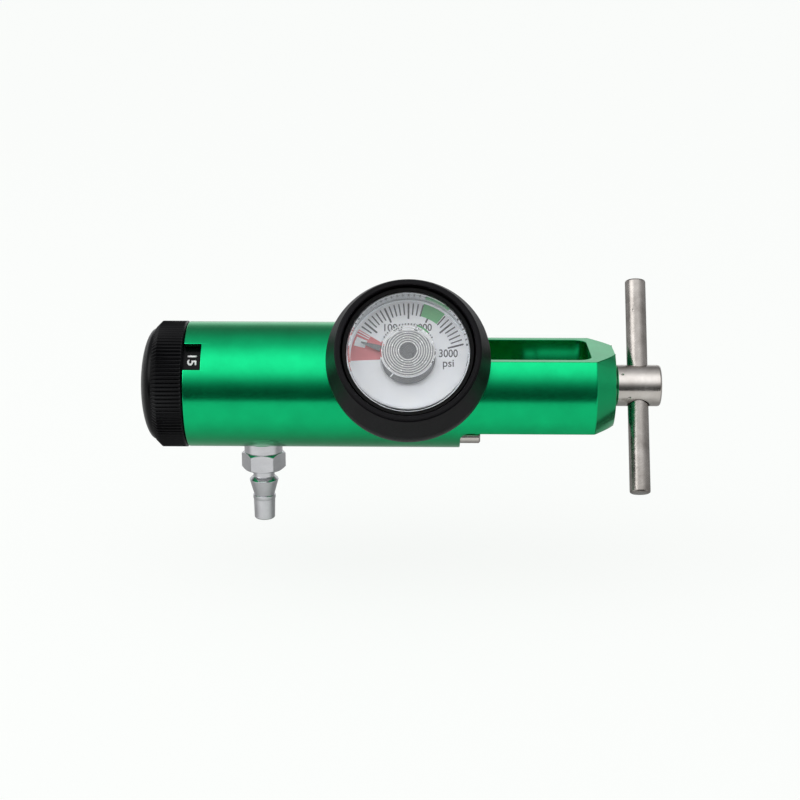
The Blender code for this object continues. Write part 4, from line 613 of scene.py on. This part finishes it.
def make_clamp(finish):
    """The clamp screw with its hub, the cross bar and the loose tip."""
    hub = draw_out(
        "clamp_hub",
        [
            (2.5, 20.4),
            (2.5, 21.2),
            (1.9, 21.2),
            (1.9, 22.6),
            (4.3, 22.6),
            (4.6, 22.9),
            (4.6, 43.4),
            (5.5, 43.4),
            (5.77, 43.7),
            (5.77, 55.0),
            (5.68, 55.4),
            (5.4, 55.68),
            (5.0, 55.8),
        ],
        96,
    )
    done(hub, ALONG_X)
    bore = draw_out("handle_bore", [(3.18, -8.0), (3.18, 8.0)], 64)
    done(bore, HANDLE)
    combine(hub, bore)
    # Two punch marks, each at a place along the hub and an angle round it.
    for x, angle in ((44.9, 47.5), (46.95, -21.9)):
        bpy.ops.object.select_all(action="DESELECT")
        bpy.ops.mesh.primitive_cone_add(
            vertices=24, radius1=0.5 * MM, radius2=0.1 * MM, depth=0.5 * MM
        )
        punch = start("stake_mark")
        bpy.ops.object.mode_set(mode="OBJECT")
        turn = Matrix.Rotation(math.pi / 2 + math.radians(-angle), 4, "X")
        seat = Matrix.Translation((x * MM, 0, 0)) @ turn @ Matrix.Translation((0, 0, 5.7 * MM))
        done(punch, seat @ Matrix.Rotation(math.pi, 4, "X"))
        combine(hub, punch)
    break_edges(hub, 0.12)
    done(hub)
    dress(hub, finish["steel"], "clamp_handle", "clamp_screw")
    bar = draw_out(
        "tee_handle",
        [
            (2.3, -30.6),
            (2.75, -30.35),
            (2.88, -30.0),
            (2.88, 18.6),
            (2.88, 23.6),
            (2.88, 30.0),
            (2.75, 30.35),
            (2.3, 30.6),
        ],
        64,
    )
    done(bar, HANDLE)
    bpy.ops.object.select_all(action="DESELECT")
    bpy.ops.mesh.primitive_uv_sphere_add(
        segments=32, ring_count=16, radius=1.3 * MM, location=(-1.53 * MM, -3.79 * MM, 21.1 * MM)
    )
    nick = start("handling_nick")
    combine(bar, done(nick, HANDLE))
    done(bar, angle=20)
    dress(bar, finish["drawn"], "clamp_handle", "tee_bar")
    tip = draw_out(
        "swivel_nose",
        [
            (2.8, 20.1),
            (2.8, 21.5),
            (2.2, 21.5),
            (2.2, 22.3),
            (4.0, 22.3),
            (4.2, 22.1),
            (4.2, 19.2),
            (1.05, 17.0),
        ],
        64,
    )
    done(tip, ALONG_X)
    dress(tip, finish["steel"], "clamp_tip", "swivel_tip")


# Inlet and outlet


def make_inlet(finish):
    """What the cylinder's valve meets: two index pins, a washer and the nipple."""
    for side, name in ((-1, "near"), (1, "far")):
        pin = draw_out("index_pin_" + name + "_steel", [(2.0, -5.7), (2.0, 5.3), (1.6, 5.7)], 48)
        done(pin, pin_seat(side))
        dress(pin, finish["steel"], "regulator", "index_pin_" + name)
    washer = draw_out(
        "sealing_washer",
        [(3.4, 0.3), (5.4, 0.3), (5.55, 0.45), (5.55, 2.55), (5.4, 2.7), (3.4, 2.7), (3.4, 0.3)],
        96,
        ring=True,
    )
    done(washer, ALONG_X)
    dress(washer, finish["brass"], "regulator", "yoke_washer")
    nipple = draw_out(
        "gas_nipple",
        [
            (2.0, -3.0),
            (2.0, 4.8),
            (2.8, 4.8),
            (3.1, 4.5),
            (3.1, -0.3),
            (4.0, -0.3),
            (4.0, -8.7),
            (1.0, -8.7),
            (1.0, -3.0),
            (2.0, -3.0),
        ],
        64,
        ring=True,
    )
    done(nipple, ALONG_X)
    dress(nipple, finish["brass"], "regulator", "inlet_nipple")


def make_outlet(finish):
    """The hose end: collar, hexagon with its chamfered corners, and barb."""
    stem = draw_out(
        "barb_stem",
        [
            (1.6, -12.7),
            (3.9, -12.7),
            (3.9, -16.55),
            (5.2, -16.55),
            (5.37, -16.7),
            (5.37, -19.4),
            (5.2, -19.6),
            (5.2, -24.7),
            (3.0, -24.7),
            (3.0, -26.7),
            (4.0, -27.7),
            (4.1, -27.85),
            (4.05, -28.0),
            (2.85, -32.3),
            (3.12, -32.35),
            (3.18, -32.45),
            (3.18, -33.35),
            (3.1, -33.5),
            (3.05, -33.6),
            (2.9, -39.1),
            (2.6, -39.4),
            (1.6, -39.4),
            (1.6, -12.7),
        ],
        96,
        ring=True,
    )
    done(stem)
    hexagon = draw_out("hexagon", [(6.235, -24.6), (6.235, -19.6)], 6)
    hexagon.data.transform(Matrix.Rotation(math.radians(30), 4, "Z"))
    done(hexagon)
    cone = draw_out(
        "hexagon_chamfer",
        [(5.3, -24.65), (6.3, -23.95), (6.3, -20.25), (5.3, -19.55)],
        96,
    )
    done(cone)
    combine(hexagon, cone, "INTERSECT")
    core = draw_out("hexagon_core", [(1.9, -26.0), (1.9, -18.0)], 48)
    done(core)
    combine(hexagon, core)
    combine(stem, hexagon, "UNION")
    break_edges(stem, 0.1, 40.0)
    done(stem, OUTLET)
    dress(stem, finish["nickel"], "regulator", "hose_barb")


# The gauge, along its own axis


def gauge_place(face):
    """How far the middle of a face lies from the gauge's axis, and how far along it."""
    x, y, level = GAUGE.inverted() @ face.center / MM
    return math.hypot(x, y), level


def make_boot(finish):
    """The rubber boot with its lip, and the steel case in it, bright inside."""
    rear = []
    for i in range(1, 9):
        angle = math.pi / 2 * i / 8
        rear.append((17.2 + 4.6 * math.sin(angle), 25.5 - 6.0 * math.cos(angle)))
    boot = draw_out(
        "rubber_boot",
        [
            (5.0, 19.5),
            (17.2, 19.5),
            *rear,
            (21.9, 26.6),
            (21.9, 27.6),
            (21.8, 28.6),
            (21.6, 29.4),
            (19.19, 36.9),
            (18.9, 36.99),
            (18.7, 37.12),
            (18.85, 37.3),
            (18.85, 37.54),
            (18.65, 37.74),
            (17.8, 37.74),
            (17.6, 37.54),
            (17.6, 19.9),
            (5.0, 19.9),
            (5.0, 19.5),
        ],
        160,
        ring=True,
    )
    done(boot, GAUGE, 35)
    dress(boot, finish["rubber"], "regulator", "gauge_boot")
    case = draw_out(
        "case_shell",
        [
            (5.0, 20.2),
            (17.1, 20.2),
            (17.3, 20.4),
            (17.3, 35.9),
            (17.1, 36.2),
            (16.25, 36.2),
            (16.15, 36.1),
            (16.15, 33.4),
            (16.15, 27.3),
            (15.05, 27.3),
            (16.15, 26.2),
            (16.15, 21.2),
            (5.0, 21.2),
            (5.0, 20.2),
        ],
        160,
        ring=True,
    )
    done(case, GAUGE)
    dress(case, finish["enamel"], "regulator", "gauge_case")
    case.data.materials.append(finish["zinc"])
    # The inner wall is zinc only below level 33.5. Nearer the window it keeps the black enamel,
    # partly as enamel wrapped in over the rim and partly as painted shade for the dark ring just
    # inside the window.
    for face in case.data.polygons:
        radius, level = gauge_place(face)
        face.material_index = int(radius < 16.2 and 21.0 < level < 33.5)


# The step from each moulded ring of the gauge's window to the next.
RING_PITCH = 0.62


def make_lens(finish):
    """The window, with the moulded rings round its middle."""
    rings = []
    for i in range(8):
        radius = 6.95 - RING_PITCH * i
        rings += [
            (radius, 36.5),
            (radius - 0.08, 36.68),
            (radius - 0.24, 36.68),
            (radius - 0.32, 36.5),
        ]
    lens = draw_out(
        "lens_window",
        [
            (15.75, 34.9),
            (15.75, 36.3),
            (15.6, 36.6),
            (15.2, 36.8),
            (7.3, 36.8),
            *rings,
            (1.6, 36.5),
            (1.5, 36.62),
        ],
        160,
    )
    done(lens, GAUGE, 20)
    dress(lens, finish["lens"], "regulator", "gauge_lens")
    lens.data.materials.append(finish["frosted"])
    for face in lens.data.polygons:
        radius, level = gauge_place(face)
        face.material_index = int(1.8 < radius < 7.0 and level > 36.52)


# The prints lie just off the dial's face, which is at 28.0, with the ticks and text on top.
FIELD_LEVEL = 28.01
BAND_LEVEL = 28.015
PRINT_LEVEL = 28.02
# First and last angle of each field, in degrees clockwise from the top.
GREEN_FIELD = (15.2, 38.5)
RED_FIELD = (-59.0, -92.8)


def mark(angle, inner, outer, width, level=PRINT_LEVEL):
    """One printed line of the dial, a plane at an angle clockwise from the top."""
    middle = (inner + outer) / 2
    bpy.ops.object.select_all(action="DESELECT")
    bpy.ops.mesh.primitive_plane_add(size=1)
    obj = start("mark")
    bpy.ops.transform.resize(value=(width * MM, (outer - inner) * MM, 1))
    bpy.ops.transform.translate(value=(0, middle * MM, level * MM))
    bpy.ops.object.mode_set(mode="OBJECT")
    obj.data.transform(Matrix.Rotation(-math.radians(angle), 4, "Z"))
    return obj


def field(first, last, inner, outer, level):
    """A flat field of the dial: an edge spun from one angle to another, clockwise from the top."""
    bpy.ops.object.select_all(action="DESELECT")
    bpy.ops.mesh.primitive_plane_add(size=1)
    obj = start("field")
    bpy.ops.transform.resize(value=(0, (outer - inner) * MM, 1))
    bpy.ops.mesh.remove_doubles(threshold=WELD)
    bpy.ops.transform.translate(value=(0, (inner + outer) / 2 * MM, level * MM))
    bpy.ops.mesh.spin(
        steps=24, angle=math.radians(abs(last - first)), center=(0, 0, 0), axis=(0, 0, 1)
    )
    bpy.ops.object.mode_set(mode="OBJECT")
    middle = sum((vertex.co for vertex in obj.data.vertices), Vector())
    turn = math.atan2(middle.x, middle.y) - math.radians((first + last) / 2)
    obj.data.transform(Matrix.Rotation(turn, 4, "Z"))
    return obj


def dial_text(text, x, y, width, height):
    """Printed digits or the unit, fitted to the width and height that they have on the dial."""
    bpy.ops.object.select_all(action="DESELECT")
    bpy.ops.object.text_add()
    bpy.context.object.data.body = text
    bpy.context.object.data.offset = 0.012
    only(bpy.context.object)
    bpy.ops.object.convert(target="MESH")
    obj = bpy.context.object
    points = [vertex.co for vertex in obj.data.vertices]
    low = Vector([min(point[i] for point in points) for i in range(3)])
    high = Vector([max(point[i] for point in points) for i in range(3)])
    share = (width * MM / (high.x - low.x), height * MM / (high.y - low.y), 1, 1)
    seat = Matrix.Translation((x * MM, y * MM, PRINT_LEVEL * MM))
    obj.data.transform(seat @ Matrix.Diagonal(share) @ Matrix.Translation(-(low + high) / 2))
    return obj


def place_print(obj, finish, body="regulator"):
    """Puts a print on the dial, facing out of it."""
    only(obj)
    bpy.ops.object.mode_set(mode="EDIT")
    bpy.ops.mesh.select_all(action="SELECT")
    bpy.ops.mesh.normals_make_consistent(inside=False)
    bpy.ops.object.mode_set(mode="OBJECT")
    if sum(face.normal.z * face.area for face in obj.data.polygons) < 0:
        obj.data.flip_normals()
    obj.data.transform(GAUGE)
    dress(obj, finish, body)


def make_dial(finish):
    """The dial's sheet, its coloured fields, its scale and its numbers."""
    dial = draw_out(
        "dial_sheet",
        [(0.9, 27.6), (15.85, 27.6), (15.85, 28.0), (0.9, 28.0), (0.9, 27.6)],
        160,
        ring=True,
    )
    done(dial, GAUGE)
    dress(dial, finish["dial"], "regulator", "gauge_dial")
    green = join("dial_green_field", [field(*GREEN_FIELD, 12.0, 15.5, FIELD_LEVEL)])
    place_print(green, finish["green_ink"])
    red = join("dial_red_field", [field(*RED_FIELD, 7.4, 15.3, FIELD_LEVEL)])
    place_print(red, finish["red_ink"])
    band = field(-66.5, -76.5, 11.8, 14.8, BAND_LEVEL)
    lines = [mark(angle, 11.6, 15.2, 0.26) for angle in (-60.6, -63.4)]
    place_print(join("dial_white_marks", [band, *lines]), finish["dial"])
    lines = []
    for i in range(4, 31):
        angle = -75.0 + 5.0 * i
        if i == 20:
            lines.append(mark(angle, 10.8, 12.0, 0.42))
        elif i % 5 == 0:
            lines.append(mark(angle, 10.8, 15.1, 0.46))
        elif not GREEN_FIELD[0] < angle < GREEN_FIELD[1]:
            lines.append(mark(angle, 11.9, 15.1, 0.34))
    lines.append(dial_text("1000", -4.0, 8.4, 4.8, 2.0))
    lines.append(dial_text("2000", 3.75, 8.5, 4.9, 2.0))
    lines.append(dial_text("3000", 10.6, 1.4, 4.95, 2.15))
    lines.append(dial_text("psi", 10.6, -1.65, 2.9, 2.6))
    place_print(join("dial_print", lines), finish["ink"])


def make_pointer(finish):
    """The pointer's round plate with its needle, and a thin white line on its rim, which is a
    painted highlight.
    """
    disc = draw_out(
        "pointer_plate",
        [
            (7.1, 28.9),
            (7.2, 29.0),
            (7.2, 29.2),
            (7.1, 29.3),
            (1.7, 29.3),
            (1.6, 29.9),
            (1.3, 30.1),
        ],
        96,
    )
    done(disc)
    needle = block("needle", (-0.95, 6.5, 28.92), (0.95, 13.1, 29.28))
    for vertex in needle.data.vertices:
        vertex.select = vertex.co.y > 13.0 * MM
    unselect(needle.data.edges, needle.data.polygons)
    only(needle)
    bpy.ops.object.mode_set(mode="EDIT")
    bpy.ops.transform.resize(value=(0.2, 1, 1), center_override=(0, 13.1 * MM, 29.1 * MM))
    bpy.ops.object.mode_set(mode="OBJECT")
    combine(disc, needle, "UNION")
    disc.data.transform(Matrix.Rotation(math.radians(72.0), 4, "Z"))
    done(disc, GAUGE)
    dress(disc, finish["pointer"], "pointer", "gauge_pointer")
    # Painted highlight: a thin white line in the dial's paint on the plate's rim, for a small glint
    # there.
    place_print(mark(-139.0, 5.7, 7.1, 0.35, 29.31), finish["dial"], "pointer")


# What stays as the CAD made it, behind or inside the rest

HIDDEN = {
    "brass": (
        "brass_sleeve", "piston", "metering_block", "core_cap", "gauge_socket", "bourdon_tube",
        "movement_back_plate", "movement_front_plate", "pinion_arbor", "sector_gear", "tube_link",
    ),
    "bronze": ("inlet_filter",),
    "seal": ("piston_stem_o_ring", "piston_head_o_ring", "block_o_ring", "port_o_ring"),
    "nylon": ("piston_seat",),
    "spring": ("piston_spring", "detent_spring"),
    "steel": ("orifice_plate", "selector_spindle", "stop_pin", "detent_ball"),
}


def dress_hidden(finish):
    """Gives the CAD's own inner pieces their materials."""
    for name, nodes in HIDDEN.items():
        for node in nodes:
            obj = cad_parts[node]
            for slot in obj.material_slots:
                slot.material = finish[name]


# The studio


# The table is square, and its front edge is a little in front of the object.
TABLE_SIZE = 6
TABLE_LEVEL = -0.06
TABLE_FRONT = -0.224


def when_seen(tree):
    """Three values, each one or none, for what the ray at hand does.

    They stand for what the camera sees, also through the gauge's window, for what metal shows,
    and for light that reaches the paint behind that window.
    """
    path = add(tree, "ShaderNodeLightPath")
    scattered = add(
        tree,
        "ShaderNodeMath",
        {"operation": "GREATER_THAN", 1: 0.5},
        {0: path.outputs["Diffuse Depth"]},
    )
    behind_window = add(
        tree,
        "ShaderNodeMath",
        {"operation": "MULTIPLY"},
        {0: path.outputs["Is Transmission Ray"], 1: scattered.outputs[0]},
    )
    through = add(
        tree,
        "ShaderNodeMath",
        {"operation": "SUBTRACT"},
        {0: path.outputs["Is Transmission Ray"], 1: behind_window.outputs[0]},
    )
    clear = add(
        tree,
        "ShaderNodeMath",
        {"operation": "ADD", "use_clamp": True},
        {0: path.outputs["Is Camera Ray"], 1: through.outputs[0]},
    )
    return clear.outputs[0], path.outputs["Is Glossy Ray"], behind_window.outputs[0]


def make_floor():
    """A white table that takes the object's soft shadow. Metal shows its front edge, with a painted
    shadow on it below and behind the object.
    """
    bpy.ops.object.select_all(action="DESELECT")
    bpy.ops.mesh.primitive_plane_add(
        size=TABLE_SIZE, location=(0, TABLE_SIZE / 2 + TABLE_FRONT, TABLE_LEVEL)
    )
    floor = bpy.context.object
    floor.name = "studio_floor"
    material, tree, shader = base("studio_white", "F8F8F6", 0.0, 0.9)
    clear, glossy, _ = when_seen(tree)
    plain = add(tree, "ShaderNodeMath", {"operation": "MULTIPLY", 1: 0.85}, {0: clear})
    seen = add(
        tree,
        "ShaderNodeMath",
        {"operation": "MULTIPLY_ADD", "use_clamp": True, 1: 0.1},
        {0: glossy, 2: plain.outputs[0]},
    )
    white = add(tree, "ShaderNodeEmission", {"Color": colour("FDFFFD"), "Strength": 1.0})
    table = add(
        tree,
        "ShaderNodeMixShader",
        None,
        {0: seen.outputs[0], 1: shader.outputs["BSDF"], 2: white.outputs["Emission"]},
    )
    # Painted shadow: in metal's reflections the table is painted darker, by position, below and
    # behind the object, where its shadow falls.
    where = add(tree, "ShaderNodeNewGeometry")
    axes = add(tree, "ShaderNodeSeparateXYZ", None, {"Vector": where.outputs["Position"]})
    depth = add(
        tree,
        "ShaderNodeMapRange",
        {"From Min": -0.052, "From Max": 0.002, "To Max": 0.5},
        {"Value": axes.outputs["Y"]},
    )
    painted_shadow_share = add(
        tree,
        "ShaderNodeMath",
        {"operation": "MULTIPLY"},
        {0: glossy, 1: depth.outputs["Result"]},
    )
    # The painted shadow's black.
    dark = add(tree, "ShaderNodeEmission", {"Color": colour("000000"), "Strength": 0.0})
    mix = add(
        tree,
        "ShaderNodeMixShader",
        None,
        {0: painted_shadow_share.outputs[0], 1: table.outputs["Shader"], 2: dark.outputs["Emission"]},
    )
    tree.links.new(mix.outputs["Shader"], tree.nodes["Material Output"].inputs["Surface"])
    floor.data.materials.append(material)


# How bright the room is, by the angle round the bar in degrees: 0 is level towards the viewer,
# 90 is overhead and 180 is level behind. It is dark beyond the table's edge, and brightest high
# up in front.
ROOM = (
    (-20, 0.08), (-2, 0.08), (6, 0.14), (12, 0.26), (18, 0.46), (24, 0.8), (36, 1.55), (48, 1.85),
    (62, 1.9), (75, 1.5), (90, 0.9), (102, 0.7), (118, 0.42), (137, 0.26), (150, 0.4), (161, 0.85),
    (175, 1.0),
)
BRIGHTEST = 1.9
ENDS = 0.6
# The window costs the paint behind it some light, and that is made up by this much.
WINDOW_GAIN = 1.55


def make_air():
    """The room's light: the table above, and the white background for the camera."""
    world = bpy.data.worlds.new("studio_air")
    bpy.context.scene.world = world
    world.use_nodes = True
    tree = world.node_tree
    tree.nodes.clear()
    where = add(tree, "ShaderNodeTexCoord")
    axes = add(tree, "ShaderNodeSeparateXYZ", None, {"Vector": where.outputs["Generated"]})
    front = add(tree, "ShaderNodeMath", {"operation": "MULTIPLY", 1: -1.0}, {0: axes.outputs["Y"]})
    angle = add(
        tree,
        "ShaderNodeMath",
        {"operation": "ARCTAN2"},
        {0: axes.outputs["Z"], 1: front.outputs[0]},
    )
    share = add(
        tree,
        "ShaderNodeMapRange",
        {"From Min": -math.pi, "From Max": math.pi},
        {"Value": angle.outputs[0]},
    )
    ramp = add(tree, "ShaderNodeValToRGB", None, {"Fac": share.outputs["Result"]})
    stops = ramp.color_ramp.elements
    while len(stops) < len(ROOM):
        stops.new(0.5)
    for stop, (degrees, level) in zip(stops, ROOM):
        stop.position = (degrees + 180) / 360
        stop.color = (*[level / BRIGHTEST] * 3, 1)
    # The right of the room is dimmer, and both ends of it are an even grey.
    side = add(
        tree,
        "ShaderNodeMapRange",
        {"From Min": 0.35, "From Max": 0.8, "To Min": 1.0, "To Max": 0.45},
        {"Value": axes.outputs["X"]},
    )
    middle = add(
        tree,
        "ShaderNodeMath",
        {"operation": "MULTIPLY"},
        {0: ramp.outputs["Color"], 1: side.outputs["Result"]},
    )
    reach = add(tree, "ShaderNodeMath", {"operation": "ABSOLUTE"}, {0: axes.outputs["X"]})
    end = add(
        tree,
        "ShaderNodeMapRange",
        {"From Min": 0.8, "From Max": 0.95},
        {"Value": reach.outputs[0]},
    )
    level = add(
        tree,
        "ShaderNodeMix",
        {"data_type": "FLOAT", "B": ENDS / BRIGHTEST},
        {"Factor": end.outputs["Result"], "A": middle.outputs[0]},
    )
    clear, glossy, behind_window = when_seen(tree)
    gain = add(
        tree,
        "ShaderNodeMapRange",
        {"To Min": BRIGHTEST, "To Max": BRIGHTEST * WINDOW_GAIN},
        {"Value": behind_window},
    )
    strength = add(
        tree,
        "ShaderNodeMath",
        {"operation": "MULTIPLY"},
        {0: level.outputs["Result"], 1: gain.outputs["Result"]},
    )
    lit = add(
        tree, "ShaderNodeBackground", {"Color": colour("FAFBFD")}, {"Strength": strength.outputs[0]}
    )
    # Metal shows the white backdrop too, but only where it stands, behind the object.
    behind = add(
        tree,
        "ShaderNodeMapRange",
        {"From Min": 0.96, "From Max": 0.995},
        {"Value": axes.outputs["Y"]},
    )
    seen = add(
        tree,
        "ShaderNodeMath",
        {"operation": "MULTIPLY_ADD", "use_clamp": True},
        {0: glossy, 1: behind.outputs["Result"], 2: clear},
    )
    white = add(tree, "ShaderNodeBackground", {"Color": colour("FDFFFD"), "Strength": 1.0})
    mix = add(
        tree,
        "ShaderNodeMixShader",
        None,
        {0: seen.outputs[0], 1: lit.outputs[0], 2: white.outputs[0]},
    )
    output = add(tree, "ShaderNodeOutputWorld")
    tree.links.new(mix.outputs["Shader"], output.inputs["Surface"])


def make_lamp(name, place, size, power):
    """A square softbox that looks at the object."""
    light = bpy.data.lights.new(name, "AREA")
    light.shape = "SQUARE"
    light.size = size
    light.energy = power
    lamp = bpy.data.objects.new(name, light)
    bpy.context.scene.collection.objects.link(lamp)
    lamp.location = place
    lamp.rotation_euler = Vector(place).to_track_quat("Z", "Y").to_euler()


def make_studio():
    """The table, the room's light and one softbox at the left."""
    make_floor()
    make_air()
    make_lamp("key_softbox", (-0.75, -0.4, 0.55), 0.7, 2.4)


def make_camera():
    """The photograph's viewing angle, from a fit of the object's outlines."""
    data = bpy.data.cameras.new("photo_camera")
    data.sensor_width = 36.0
    data.lens = 79.227
    data.clip_start = 0.01
    camera = bpy.data.objects.new("photo_camera", data)
    bpy.context.scene.collection.objects.link(camera)
    right = Vector((0.9999, 0.0144, 0.0006))
    up = Vector((-0.0045, 0.2677, 0.9635))
    back = Vector((0.0138, -0.9634, 0.2677))
    turn = Matrix((right, up, back)).transposed().to_4x4()
    camera.matrix_world = Matrix.Translation((-0.00991, -0.47548, 0.12763)) @ turn
    bpy.context.scene.camera = camera


def main():
    """Makes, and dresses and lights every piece."""
    finish = make_finishes()
    make_body(finish)
    make_knob(finish)
    make_numbers(finish)
    make_clamp(finish)
    make_inlet(finish)
    make_outlet(finish)
    make_boot(finish)
    make_lens(finish)
    make_dial(finish)
    make_pointer(finish)
    dress_hidden(finish)
    make_studio()
    make_camera()
    bpy.context.scene.view_settings.view_transform = "Standard"


main()
